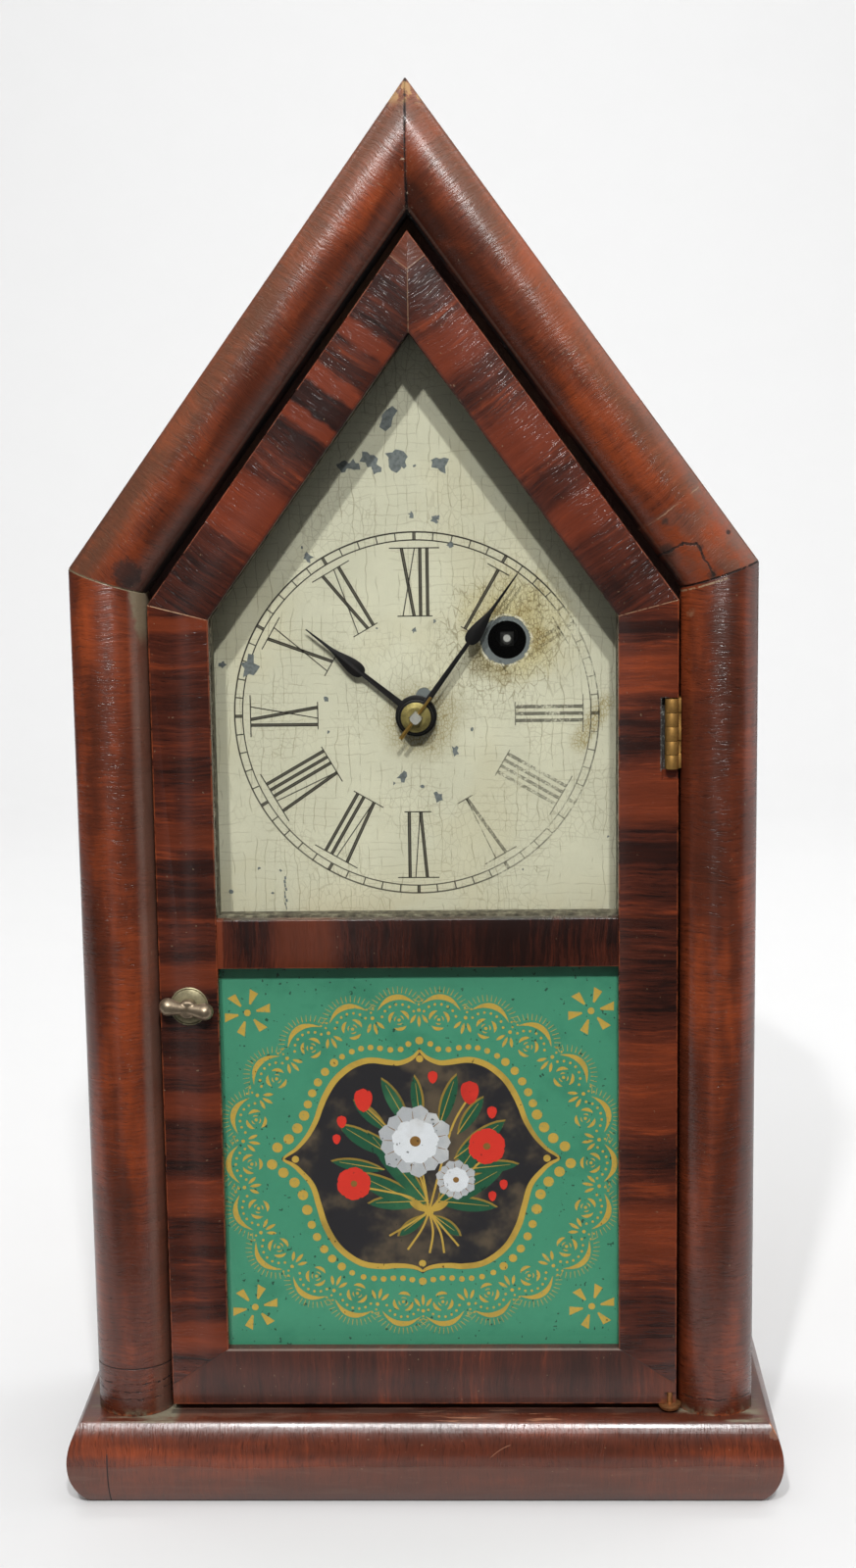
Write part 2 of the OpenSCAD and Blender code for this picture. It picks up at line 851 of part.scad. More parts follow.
module latch_plate() {
    color("darkkhaki") difference() {
        bar([latch_x, latch_z], latch_plate_r, door_y - latch_plate_t, door_y);
        bar([latch_x, latch_z], spindle_r + run_fit, door_y - latch_plate_t - eps, door_y + eps);
    }
}

// One ear of the thumb piece: a plump lobe that swells from radius r1 at a to r2 at b
module thumb_ear(a, b, r1, r2) {
    hull() {
        translate(a) sphere(r = r1, $fn = 20);
        translate(b) sphere(r = r2, $fn = 24);
    }
}

module latch_turn() {
    thumb_y = door_y - latch_plate_t - 2.6;
    color("rosybrown") {
        bar([latch_x, latch_z], spindle_r, thumb_y, hook_y + hook_t);
        bar([latch_x, latch_z], spindle_r + 0.7, thumb_y - 0.6, door_y - latch_plate_t - 0.3);
        translate([latch_x, thumb_y, latch_z]) rotate([0, 6, 0]) {
            thumb_ear([-1.2, 0, 0], [-5.4, 0, 0.2], 1.1, 2.1);
            thumb_ear([0.8, 0, 0], [4.6, 0, -0.2], 1.1, 2.05);
        }
    }
}

module latch_hook() {
    color("gray") difference() {
        slab(hook_y, hook_y + hook_t) {
            translate([latch_x, latch_z]) circle(hook_hub_r);
            translate([latch_x - hook_w / 2, latch_z - hook_reach]) square([hook_w, hook_reach]);
        }
        bar([latch_x, latch_z], spindle_r, hook_y - eps, hook_y + hook_t + eps);
    }
}

// Hands

// Outline of a spear hand that points up: a stem, a drop shaped leaf and a long drawn tip
module spear(l, leaf_foot, leaf_mid, leaf_end, stem_w, leaf_w) {
    tip_w = 0.9;
    fair = [for (i = [0:6]) let (t = i / 6)
        [(leaf_w + (tip_w - leaf_w) * (3 * t * t - 2 * t * t * t)) / 2,
            leaf_mid + (leaf_end - leaf_mid) * t]];
    swell = [for (i = [0:5]) let (a = 90 * i / 5)
        [stem_w / 2 + (leaf_w - stem_w) / 2 * sin(a), leaf_mid - (leaf_mid - leaf_foot) * cos(a)]];
    right = concat([[stem_w * 0.85, 0]], swell, [for (i = [1:6]) fair[i]], [[0.15, l]]);
    polygon(concat(right, [for (i = [len(right) - 1:-1:0]) [-right[i][0], right[i][1]]]));
}

module hour_hand() {
    color("black") at_dial() {
        difference() {
            union() {
                slab(hour_y, hour_y + hand_t) rotate(-hour_angle)
                    spear(hour_l, hour_l - 19.6, hour_l - 17, hour_l - 7.5, 1.2, 4.1);
                bar(centre, hub_hour_r, hour_y, hour_y + hub_hour_t);
            }
            bar(centre, pipe_r + nail_fit, hour_y - eps, hour_y + hub_hour_t + eps);
        }
    }
}

module minute_hand() {
    color("black") at_dial() slab(minute_y, minute_y + hand_t) difference() {
        union() {
            rotate(-minute_angle)
                spear(minute_l, minute_l - 22.8, minute_l - 20.2, minute_l - 10.8, 1.05, 4.1);
            circle(hub_minute_r);
        }
        rotate(45) square(arbor_square + 2 * run_fit, center = true);
    }
}

module hand_washer() {
    color("darkkhaki") at_dial() difference() {
        translate([0, minute_y, 0]) rotate([90, 0, 0]) rotate_extrude()
            polygon([[0, 0], [washer_r, 0], [washer_r, 0.35], [washer_r - 0.5, 0.55],
                [arbor_square, washer_t], [0, washer_t]]);
        slab(washer_y - eps, minute_y + eps) rotate(45)
            square(arbor_square + 2 * run_fit, center = true);
    }
}

module pin_cone(grow) {
    translate([0, pin_y, 0]) rotate([0, 90 - pin_angle, 0])
        cylinder(r1 = pin_thick_r + grow, r2 = pin_thin_r + grow, h = pin_l, center = true);
}

module taper_pin() { color("gold") at_dial() pin_cone(0); }

// Toothed wheel outline of n teeth at module m, with a tooth pointing along +X
module teeth(n, m, thick = 0.42) {
    pitch_r = n * m / 2;
    w = thick * 360 / n / 2;
    tip_r = pitch_r + m;
    root_r = pitch_r - 1.25 * m;
    polygon([for (k = [0:n - 1]) for (q = [[-1.05, root_r], [-1, pitch_r], [-0.36, tip_r],
        [0.36, tip_r], [1, pitch_r], [1.05, root_r]])
        q[1] * [cos(k * 360 / n + q[0] * w), sin(k * 360 / n + q[0] * w)]]);
}

// Open spokes between a rim and a hub, as the shape that is cut away
module spoke_windows(rim_r, hub_r, n, spoke_w) {
    difference() {
        circle(rim_r);
        circle(hub_r);
        for (k = [0:n - 1]) rotate(k * 360 / n)
            translate([0, -spoke_w / 2]) square([rim_r + eps, spoke_w]);
    }
}

// A spoked wheel of n teeth at module m, t thick
module wheel(p, turn, n, m, y, t, hub_r, spokes, thick = 0.42) {
    rim_r = n * m / 2 - 1.25 * m - 1.6;
    slab(y, y + t) translate(p) rotate(turn) difference() {
        teeth(n, m, thick);
        spoke_windows(rim_r, hub_r, spokes, 2.4);
    }
}

// A lantern pinion of n round trundles between two shrouds
module lantern(p, turn, n, m, y0, y1, r) {
    pitch_r = n * m / 2;
    shroud_r = pitch_r + r + 0.4;
    bar(p, shroud_r, y0, y0 + shroud_t);
    bar(p, shroud_r, y1 - shroud_t, y1);
    for (k = [0:n - 1]) let (a = turn + k * 360 / n)
        bar(p + pitch_r * [cos(a), sin(a)], r, y0 + shroud_t / 2, y1 - shroud_t / 2);
}

module centre_arbor() {
    color("silver") at_dial() difference() {
        union() {
            bar(centre, arbor_r, minute_y + hand_t, back_in_y - run_fit);
            bar(centre, 0.9, back_in_y - eps, plate_back_y + 0.3);
            intersection() {
                slab(arbor_tip_y, minute_y + hand_t + 0.1) rotate(45) square(arbor_square, center = true);
                translate([0, minute_y + hand_t + 0.1, 0]) rotate([90, 0, 0])
                    cylinder(r1 = arbor_r, r2 = 1.5, h = minute_y + hand_t + 0.1 - arbor_tip_y);
            }
            slab(minute_wheel_y - 0.6, minute_wheel_y + motion_t + 0.6)
                rotate(cannon_turn) teeth(cannon_leaves, cannon_module);
        }
        pin_cone(0.01);
    }
}

module hour_wheel() {
    color("goldenrod") at_dial() difference() {
        union() {
            wheel(centre, hour_wheel_turn, hour_teeth, hour_module, hour_wheel_y, motion_t, 4.4, 3);
            bar(centre, pipe_r, minute_y + hand_t + 0.4, hour_wheel_y + motion_t);
        }
        bar(centre, pipe_r - pipe_wall, minute_y, hour_wheel_y + motion_t + eps);
    }
}

module minute_wheel() {
    color("goldenrod") at_dial() difference() {
        union() {
            wheel(minute_place, minute_wheel_turn, minute_teeth, cannon_module,
                minute_wheel_y, motion_t, 3.4, 3);
            slab(hour_wheel_y - 0.6, minute_wheel_y + 0.2) translate(minute_place)
                rotate(minute_wheel_turn) teeth(minute_leaves, hour_module);
        }
        bar(minute_place, stud_r + run_fit, hour_wheel_y - 2, minute_wheel_y + motion_t + eps);
    }
}

// Movement frame

// A rounded rectangle from corner a to corner b
module rounded(a, b, r) {
    translate([a[0] + r, a[1]]) square([b[0] - a[0] - 2 * r, b[1] - a[1]]);
    translate([a[0], a[1] + r]) square([b[0] - a[0], b[1] - a[1] - 2 * r]);
    for (x = [a[0] + r, b[0] - r]) for (z = [a[1] + r, b[1] - r]) translate([x, z]) circle(r);
}

module plate_outline() {
    rounded([plate_left, plate_low], [plate_right, plate_high], plate_corner);
}

// Stamped openings in the plates, clear of every pivot
module plate_windows() {
    foot = plate_low + window_foot_in;
    left = plate_left + window_side_in;
    right = plate_right - window_side_in;
    top = plate_high - window_top_in;
    rounded([left, foot], [left + window_left_w, foot + window_low_h], window_corner);
    rounded([right - window_right_w, foot], [right, foot + window_low_h], window_corner);
    rounded([right - window_high_w, top - window_high_h], [right, top], window_corner);
}

module front_plate() {
    color("darkgoldenrod") at_dial() {
        difference() {
            slab(front_y, inner_y) difference() {
                plate_outline();
                plate_windows();
                circle(arbor_r + run_fit);
                translate(winding) circle(winding_r + run_fit);
                translate(third) circle(pivot_r + run_fit);
                translate(escape) circle(train_arbor_r + 0.3);
                for (p = pillars) translate(p) circle(pillar_end_r + nail_fit);
                for (s = [-1, 1]) translate(escape + s * bridge_reach * [cos(bridge_angle), sin(bridge_angle)])
                    circle(1 + nail_fit);
                translate(post) circle(1.4 + nail_fit);
            }
        }
        bar(minute_place, stud_r, hour_wheel_y - 1.2, front_y + plate_t / 2);
        bar(verge, 0.9, front_y - 7, front_y + plate_t / 2);
    }
}

module back_plate() {
    color("darkgoldenrod") at_dial() slab(back_in_y, plate_back_y) difference() {
        union() {
            plate_outline();
            for (p = lugs) {
                translate(p) circle(lug_r);
                translate([p[0] < 0 ? p[0] : plate_right - eps, p[1] - lug_r])
                    square([lug_reach + eps, 2 * lug_r]);
            }
        }
        plate_windows();
        circle(0.9 + run_fit);
        translate(winding) circle(1.6 + run_fit);
        translate(third) circle(pivot_r + run_fit);
        translate(escape) circle(pivot_r + run_fit);
        for (p = pillars) translate(p) circle(pillar_end_r + nail_fit);
        for (p = lugs) translate(p) circle(screw_r + nail_fit);
    }
}

// Turned pillars with a stepped end through each plate and a taper pin across the front end
module plate_pillars() {
    l = plate_gap;
    color("goldenrod") at_dial() for (p = pillars) {
        translate([p[0], back_in_y, p[1]]) rotate([90, 0, 0]) rotate_extrude()
            polygon([[0, 0], [pillar_r, 0], [pillar_r, 3], [pillar_waist_r, 5], [pillar_waist_r, l / 2 - 3],
                [pillar_r - 0.2, l / 2 - 1], [pillar_r - 0.2, l / 2 + 1], [pillar_waist_r, l / 2 + 3],
                [pillar_waist_r, l - 5], [pillar_r, l - 3], [pillar_r, l], [0, l]]);
        bar(p, pillar_end_r, front_y - 2, inner_y + eps);
        bar(p, pillar_end_r, back_in_y - eps, plate_back_y + 0.6);
        translate([p[0], front_y - 0.9, p[1]]) rotate([0, 90, 0])
            cylinder(r = 0.6, h = 9, center = true);
    }
}

module movement_battens() {
    color("peru") at_dial() difference() {
        for (z = lug_z) translate([lugs[0][0] - lug_r, plate_back_y, z - batten_h / 2])
            cube([lugs[3][0] - lugs[0][0] + 2 * lug_r, board_y - plate_back_y, batten_h]);
        for (p = lugs) bar(p, screw_r + nail_fit, back_in_y, plate_back_y + screw_l);
        bar(winding, 2.4, back_in_y, plate_back_y + 2);
    }
}

module movement_screws() {
    color("dimgray") at_dial() for (p = lugs) {
        bar(p, screw_r, back_in_y - screw_head_t / 2, plate_back_y + screw_l - nail_fit);
        difference() {
            bar(p, screw_head_r, back_in_y - screw_head_t, back_in_y);
            translate([p[0] - screw_head_r, back_in_y - screw_head_t - eps, p[1] - 0.3])
                cube([2 * screw_head_r, eps + 0.5, 0.6]);
        }
    }
}

// The strap that carries the escape arbor's front pivot
module escape_bridge() {
    color("goldenrod") at_dial() difference() {
        union() {
            slab(bridge_y - bridge_t, bridge_y) translate(escape) {
                rotate(bridge_angle) translate([-bridge_reach, -bridge_r + 0.6])
                    square([2 * bridge_reach, 2 * bridge_r - 1.2]);
                for (s = [-1, 1]) translate(s * bridge_reach * [cos(bridge_angle), sin(bridge_angle)])
                    circle(bridge_r);
                circle(bridge_r);
            }
            for (s = [-1, 1]) {
                foot = escape + s * bridge_reach * [cos(bridge_angle), sin(bridge_angle)];
                bar(foot, 2, bridge_y - bridge_t / 2, front_y);
                bar(foot, 1, front_y - eps, front_y + plate_t);
            }
        }
        bar(escape, pivot_r + run_fit, bridge_y - 2 * bridge_t, front_y);
    }
}

module suspension_post() {
    color("goldenrod") at_dial() difference() {
        union() {
            bar(post, post_r, rod_y - ribbon_w / 2 - 0.6, front_y);
            bar(post, 1.4, front_y - eps, inner_y);
        }
        translate([pendulum_x - 0.4, rod_y - ribbon_w / 2 - 0.6 - eps, post_z - post_r - eps])
            cube([0.8, ribbon_w + 1 + eps, post_r + 0.8 + eps]);
    }
}

// Train

module great_wheel() {
    color("gold") at_dial() {
        difference() {
            wheel(winding, great_turn, great_teeth, great_module, great_y, great_t, 12, 4, 0.4);
            bar(winding, winding_r + run_fit, great_y - eps, great_y + great_t + eps);
        }
        bar(click_place, 1, ratchet_y - 0.3, great_y + great_t / 2);
        bar(click_place, 1.6, ratchet_y + ratchet_t, great_y + great_t / 2);
    }
}

// The ratchet's outline, with slanted teeth
module ratchet_outline() {
    step = 360 / ratchet_teeth;
    polygon([for (k = [0:ratchet_teeth - 1]) for (q = [[0, ratchet_r], [0.08, ratchet_r - 1.6]])
        q[1] * [cos((k + q[0]) * step), sin((k + q[0]) * step)]]);
}

module winding_arbor() {
    color("silver") at_dial() {
        bar(winding, winding_r, winding_tip_y + 10, back_in_y - 0.4);
        bar(winding, 1.6, back_in_y - eps, plate_back_y + 0.6);
        slab(ratchet_y, ratchet_y + ratchet_t) translate(winding) ratchet_outline();
        intersection() {
            slab(winding_tip_y, winding_tip_y + 10.5) translate(winding)
                square(winding_square, center = true);
            translate([winding[0], winding_tip_y + 10.5, winding[1]]) rotate([90, 0, 0]) rotate_extrude()
                polygon([[0, 0], [3, 0], [3, 8.6], [1.3, 10.5], [0, 10.5]]);
        }
    }
}

// The click: a lever on the great wheel whose beak rides just over the ratchet's tips
module click() {
    arm = winding - click_place;
    tip_r = ratchet_r + click_ride;
    lean = acos((click_reach * click_reach + click_l * click_l - tip_r * tip_r)
        / (2 * click_reach * click_l));
    color("silver") at_dial() slab(ratchet_y + 0.1, ratchet_y + ratchet_t - 0.1) translate(click_place)
        rotate(place_angle(arm) + lean) difference() {
            union() {
                circle(click_hub_r);
                polygon([[1, -2], [7, 0.5], [click_l, 0], [click_l + 0.5, 1.8], [-1, 2]]);
            }
            circle(1 + run_fit);
        }
}

// A blade spring on the great wheel's rim whose free end lies behind the click
module click_spring() {
    foot = winding + (great_teeth * great_module / 2 - 2) * [cos(163), sin(163)];
    tip = click_place + [1.4, 4.3];
    color("khaki") at_dial() {
        bar(foot, 0.9, great_y - 1.8, great_y);
        slab(great_y - 1.8, great_y - 1) translate(foot) rotate(place_angle(tip - foot))
            translate([0, -0.3]) square([norm(tip - foot), 0.6]);
    }
}

// Spiral of the mainspring, as points along the middle of the strip
spring_way = place_angle(spring_pillar - winding);
spring_hook_r = pillar_r + spring_t / 2 + 0.1;
spring_coil = [for (i = [0:spring_turns * spring_steps])
    let (t = i / (spring_turns * spring_steps), a = spring_way - 60 - 360 * spring_turns * (1 - t),
        r = spring_in_r + (spring_out_r - spring_in_r) * t) winding + r * [cos(a), sin(a)]];
spring_tail = [for (i = [1:10])
    let (t = i / 10, a = spring_way - 60 + 56 * t,
        r = spring_out_r + (norm(spring_pillar - winding) - spring_hook_r - spring_out_r) * t * t * (3 - 2 * t))
    winding + r * [cos(a), sin(a)]];
spring_hook = [for (i = [0:10]) let (a = spring_way - 180 - 20 * i)
    spring_pillar + spring_hook_r * [cos(a), sin(a)]];
spring_path = concat(spring_coil, spring_tail, spring_hook);
function path_normal(path, i) =
    let (a = path[max(i - 1, 0)], b = path[min(i + 1, len(path) - 1)], d = (b - a) / norm(b - a))
    [-d[1], d[0]];
// Least gap between two passes of the strip that are at least half a turn apart along it
spring_self_gap = min([for (i = [0:len(spring_path) - 1]) for (j = [i + 10:len(spring_path) - 1])
    norm(spring_path[i] - spring_path[j])]) - spring_t;
echo(least_gap_between_mainspring_coils_mm = spring_self_gap);

module mainspring() {
    n = len(spring_path);
    color("steelblue") at_dial() slab(spring_y, spring_y + spring_w)
        polygon(concat(
            [for (i = [0:n - 1]) spring_path[i] + spring_t / 2 * path_normal(spring_path, i)],
            [for (i = [n - 1:-1:0]) spring_path[i] - spring_t / 2 * path_normal(spring_path, i)]));
}

module centre_wheel() {
    color("gold") at_dial() difference() {
        union() {
            wheel(centre, centre_wheel_turn, centre_teeth, centre_module, centre_wheel_y, wheel_t, 5, 4);
            bar(centre, 2.8, great_y - 2, centre_wheel_y + wheel_t + 0.8);
            lantern(centre, centre_leaf_turn, centre_leaves, great_module, great_y - 1.6,
                great_y + great_t + 1.6, 0.65);
        }
        bar(centre, arbor_r + run_fit, inner_y, back_in_y);
    }
}

module third_wheel() {
    color("gold") at_dial() {
        bar(third, pivot_r, front_y, plate_back_y);
        bar(third, train_arbor_r, inner_y + 0.4, back_in_y - 0.3);
        wheel(third, third_wheel_turn, third_teeth, third_module, third_wheel_y, wheel_t, 3, 3);
        lantern(third, third_leaf_turn, third_leaves, centre_module, centre_wheel_y - 1.6,
            centre_wheel_y + wheel_t + 1.3, 0.35);
    }
}

// Escape wheel outline: long slanted teeth with narrow tips
module escape_outline() {
    step = 360 / escape_teeth;
    root_r = escape_r - 3;
    difference() {
        polygon([for (k = [0:escape_teeth - 1])
            for (q = [[0, root_r], [0.55, escape_r], [0.63, escape_r], [0.4, root_r]])
            q[1] * [cos((k + q[0]) * step), sin((k + q[0]) * step)]]);
        spoke_windows(root_r - 1.6, 2.6, 3, 2);
    }
}

module escape_wheel() {
    color("gold") at_dial() {
        bar(escape, pivot_r, bridge_y - bridge_t, front_y);
        bar(escape, train_arbor_r, bridge_y + 0.3, back_in_y - 0.3);
        bar(escape, pivot_r, back_in_y - eps, plate_back_y);
        slab(escape_wheel_y, escape_wheel_y + escape_wheel_t) translate(escape) escape_outline();
        lantern(escape, escape_leaf_turn, escape_leaves, third_module, third_wheel_y - 1.6,
            third_wheel_y + wheel_t + 1.6, 0.32);
    }
}

// Verge: a bent strip over the escape wheel, its saddle and the crutch that drives the pendulum
module verge_crutch() {
    span = 34;
    pallet_clear = 0.15 + verge_rise * sin(span) * sin(verge_swing);
    fork_z = verge[1] - crutch_l;
    color("slategray") at_dial() {
        difference() {
            union() {
                slab(escape_wheel_y - 0.3, escape_wheel_y + 1.1) translate(escape) {
                    intersection() {
                        difference() {
                            circle(verge_rise - 0.4);
                            circle(verge_rise - 1.7);
                        }
                        polygon([[0, 0], 40 * [cos(90 + span), sin(90 + span)], [0, 60],
                            40 * [cos(90 - span), sin(90 - span)]]);
                    }
                    for (s = [-1, 1]) rotate(-s * span)
                        translate([-0.5, escape_r + pallet_clear])
                            square([1, verge_rise - 1 - escape_r - pallet_clear]);
                }
                bar(verge, verge_arm_r, front_y - 6.8, front_y - 1);
                bar(verge - [0, crutch_drop], crutch_r, crutch_y - crutch_r, front_y - 4);
            }
            bar(verge, 0.9 + run_fit, front_y - 12, front_y);
        }
        translate([verge[0], crutch_y, fork_z]) cylinder(r = crutch_r, h = crutch_l - crutch_drop);
        translate([0, 0, fork_z]) linear_extrude(0.8) difference() {
            translate([verge[0] - 2.1, rod_y - 1.6]) square([4.2, crutch_y - rod_y + 2.1]);
            translate([verge[0] - 1.2, rod_y - 2.6]) square([2.4, 3.6]);
        }
    }
}

module suspension_spring() {
    color("steelblue") at_dial()
        translate([pendulum_x - ribbon_t / 2, rod_y - ribbon_w / 2, post_z - ribbon_l])
        cube([ribbon_t, ribbon_w, ribbon_l + 0.4]);
}

module pendulum_rod() {
    rod_top = post_z - ribbon_l + 2.5;
    rod_foot = post_z - pendulum_l - bob_r - 6;
    color("goldenrod") at_dial() difference() {
        union() {
            translate([pendulum_x, rod_y, rod_foot]) cylinder(r = rod_r, h = rod_top - rod_foot - 3);
            translate([pendulum_x - 1, rod_y - ribbon_w / 2 - 0.3, rod_top - 5])
                cube([2, ribbon_w + 0.6, 5]);
        }
        translate([pendulum_x - ribbon_t / 2 - 0.01, rod_y - ribbon_w, rod_top - 2.5])
            cube([ribbon_t + 0.02, 2 * ribbon_w, 4]);
    }
}

// A lens shaped bob with a bore for the rod and a rating nut under it
module pendulum_bob() {
    crown = (bob_t - bob_rim_t) / 2;
    lens_r = (bob_r * bob_r + crown * crown) / (2 * crown);
    bob_z = post_z - pendulum_l;
    color("goldenrod") at_dial() difference() {
        union() {
            translate([pendulum_x, rod_y, bob_z]) rotate([90, 0, 0]) rotate_extrude() intersection() {
                translate([0, bob_t / 2 - lens_r]) circle(lens_r);
                translate([0, lens_r - bob_t / 2]) circle(lens_r);
                translate([0, -bob_t]) square([bob_r, 2 * bob_t]);
            }
            translate([pendulum_x, rod_y, bob_z - bob_r - 3.2]) cylinder(r = 2.6, h = 2.6);
        }
        translate([pendulum_x, rod_y, bob_z - bob_r - 6]) cylinder(r = rod_r + nail_fit, h = 2 * bob_r + 12);
    }
}

base_plinth();
base_front_moulding();
base_end_mouldings();
left_side();
right_side();
left_roof_board();
right_roof_board();
back_board();
face_frame();
left_column_moulding();
right_column_moulding();
left_roof_moulding();
right_roof_moulding();
dial_supports();
dial_plate();
dial_nails();
hinge_case_leaf();
hinge_case_screws();
hinge_pin();
door_left_stile();
door_right_stile();
door_left_rafter();
door_right_rafter();
door_mid_rail();
door_bottom_rail();
upper_glass();
lower_tablet();
glazing_putty();
hinge_door_leaf();
hinge_door_screws();
pivot_screw();
latch_plate();
latch_turn();
latch_hook();
hour_hand();
minute_hand();
hand_washer();
taper_pin();
centre_arbor();
hour_wheel();
minute_wheel();
movement_battens();
movement_screws();
front_plate();
back_plate();
plate_pillars();
escape_bridge();
suspension_post();
great_wheel();
click();
click_spring();
winding_arbor();
mainspring();
centre_wheel();
third_wheel();
escape_wheel();
verge_crutch();
suspension_spring();
pendulum_rod();
pendulum_bob();
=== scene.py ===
import math
import random
from contextlib import contextmanager

import bmesh
import bpy
from bpy.props import FloatProperty, FloatVectorProperty, PointerProperty
from mathutils import Matrix, Vector


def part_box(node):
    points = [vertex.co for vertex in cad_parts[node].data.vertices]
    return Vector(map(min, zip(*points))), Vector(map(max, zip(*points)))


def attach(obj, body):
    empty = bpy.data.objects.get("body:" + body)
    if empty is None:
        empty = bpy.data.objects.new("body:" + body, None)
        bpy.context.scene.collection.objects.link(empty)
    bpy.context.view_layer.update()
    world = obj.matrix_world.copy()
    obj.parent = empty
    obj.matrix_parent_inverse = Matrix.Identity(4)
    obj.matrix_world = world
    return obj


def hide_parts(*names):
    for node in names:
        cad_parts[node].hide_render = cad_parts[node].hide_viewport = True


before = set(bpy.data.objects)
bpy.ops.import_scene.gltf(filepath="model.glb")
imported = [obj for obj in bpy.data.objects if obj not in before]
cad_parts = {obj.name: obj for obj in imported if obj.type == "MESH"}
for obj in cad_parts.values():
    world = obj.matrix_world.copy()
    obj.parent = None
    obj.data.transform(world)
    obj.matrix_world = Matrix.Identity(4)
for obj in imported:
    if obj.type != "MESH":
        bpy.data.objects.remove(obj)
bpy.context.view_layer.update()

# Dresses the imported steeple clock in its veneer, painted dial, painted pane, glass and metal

bl_info = {
    "name": "Steeple Clock",
    "version": (1, 0, 0),
    "blender": (4, 5, 0),
    "location": "3D View > Sidebar > Clock",
    "description": "Models and finishes a small peaked shelf clock round its packed frame",
    "category": "Object",
}

MM = 0.001

# Places taken from the frame, in millimetres


def node_box(node):
    """Lowest and highest corner of a CAD node in millimetres."""
    return [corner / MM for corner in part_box(node)]


PEAK = node_box("left_roof_board")[1].z
HALF = node_box("right_side")[1].x
SHOULDER = node_box("right_side")[1].z
ROOF = math.atan((PEAK - SHOULDER) / HALF)
ROUND_W = HALF - node_box("right_column_moulding")[0].x
BASE_TOP = node_box("base_plinth")[1].z
BASE_FRONT = node_box("base_front_moulding")[0].y
BASE_HALF = node_box("base_end_mouldings")[1].x
DOOR_FRONT = node_box("door_mid_rail")[0].y
DOOR_HALF = node_box("door_bottom_rail")[1].x
DOOR_FOOT = node_box("door_bottom_rail")[0].z
DOOR_PEAK = node_box("door_left_rafter")[1].z
LIGHT_HALF = node_box("door_mid_rail")[1].x
LIGHT_FOOT = node_box("door_mid_rail")[1].z
TABLET_TOP = node_box("door_mid_rail")[0].z
TABLET_FOOT = node_box("door_bottom_rail")[1].z
DIAL_FRONT = node_box("dial_plate")[0].y
GLASS_FRONT = node_box("lower_tablet")[0].y
GLASS_BACK = node_box("lower_tablet")[1].y
DIAL_Z = sum(node_box("hand_washer"), Vector()).z / 2
WINDING_X, _, WINDING_Z = sum(node_box("winding_arbor"), Vector()) / 2
RAFTER_W = 15.1
DOOR_INSET = (PEAK - DOOR_PEAK) * math.cos(ROOF)
LIGHT_INSET = DOOR_INSET + RAFTER_W
# Middle of the painted pane's pattern, the back of its glass, the front of its green ground, and the
# back of the paint on that
TABLET_Z = 95.2
SHEET_BACK = GLASS_BACK - 0.6
GROUND_FRONT = SHEET_BACK + 0.16
PAINT_Y = SHEET_BACK + 0.15


def tint(red, green, blue):
    """Screen values from 0 to 255 as the linear colour that materials use."""
    return tuple(
        (v / 255 / 12.92 if v <= 10 else ((v / 255 + 0.055) / 1.055) ** 2.4)
        for v in (red, green, blue)
    )


def dim(shade, share):
    """A colour times a share, no brighter than white."""
    return tuple(min(1.0, v * share) for v in shade)


# Sizes and colours that a user would change


def colour(name, description, *screen):
    return FloatVectorProperty(
        name=name, description=description, default=tint(*screen), subtype="COLOR", size=3, min=0, max=1
    )


def length(name, description, millimetres):
    return FloatProperty(
        name=name, description=description, default=millimetres * MM, unit="LENGTH", min=0, precision=5
    )


class ClockWood(bpy.types.PropertyGroup):
    """Finishes of the veneer and the plain boards."""

    dark: colour("Dark streaks", "Colour of the veneer's darkest grain", 30, 15, 12)
    middle: colour("Door veneer", "Main colour of the door's veneer", 76, 34, 22)
    bright: colour("Bright figure", "Colour of the door veneer's bright figure", 128, 56, 28)
    round_dark: colour("Moulding shade", "Darkest colour of the half-round mouldings", 48, 25, 17)
    round_middle: colour("Mouldings", "Main colour of the half-round mouldings", 86, 39, 23)
    round_bright: colour("Moulding figure", "Brightest colour of the half-round mouldings", 134, 60, 30)
    worn: colour("Worn arris", "Colour where the varnish is rubbed through", 166, 82, 42)
    chipped: colour("Chipped wood", "Colour of freshly broken wood", 196, 122, 70)
    crumb: colour("Old glue", "Colour of the crumbled glue in the joints", 150, 130, 104)
    pine: colour("Pine", "Colour of the unstained inner boards", 168, 124, 78)
    stained: colour("Stained pine", "Colour of the stained frame behind the door", 70, 32, 20)
    arris: length("Arris", "Width of the rounding along the door's worn edges", 0.4)


class ClockDial(bpy.types.PropertyGroup):
    """Sizes and colours of the painted dial."""

    paint: colour("Dial paint", "Colour of the aged paint", 217, 214, 190)
    ink: colour("Ink", "Colour of the numerals and the minute track", 25, 17, 10)
    stain: colour("Stain", "Colour of the oil stain round the winding hole", 98, 80, 36)
    zinc: colour("Bare sheet", "Colour of the sheet where paint has flaked off", 108, 114, 114)
    track: length("Track radius", "Radius of the minute track's outer line", 49.4)
    numeral_out: length("Numeral tops", "Distance of the numerals' tops from the centre", 45.1)
    numeral_in: length("Numeral feet", "Distance of the numerals' feet from the centre", 26.8)
    thick: length("Thick stroke", "Width of the numerals' thick strokes", 0.9)
    thin: length("Thin stroke", "Width of the numerals' thin strokes", 0.3)


class ClockPane(bpy.types.PropertyGroup):
    """Sizes and colours of the painted pane."""

    ground: colour("Ground", "Colour of the pane's green ground", 66, 142, 112)
    gold: colour("Gold", "Colour of the stencilled ornament", 192, 158, 68)
    black: colour("Cartouche", "Colour of the dark middle field", 34, 32, 36)
    red: colour("Red", "Colour of the red flowers", 212, 50, 36)
    leaf: colour("Leaf", "Colour of the leaves", 28, 84, 58)
    white: colour("White", "Colour of the white flower", 222, 224, 230)
    crescent: length("Crescent", "Width across a scallop's crescent", 10.9)
    bead: length("Largest bead", "Radius of the largest bead", 1.45)


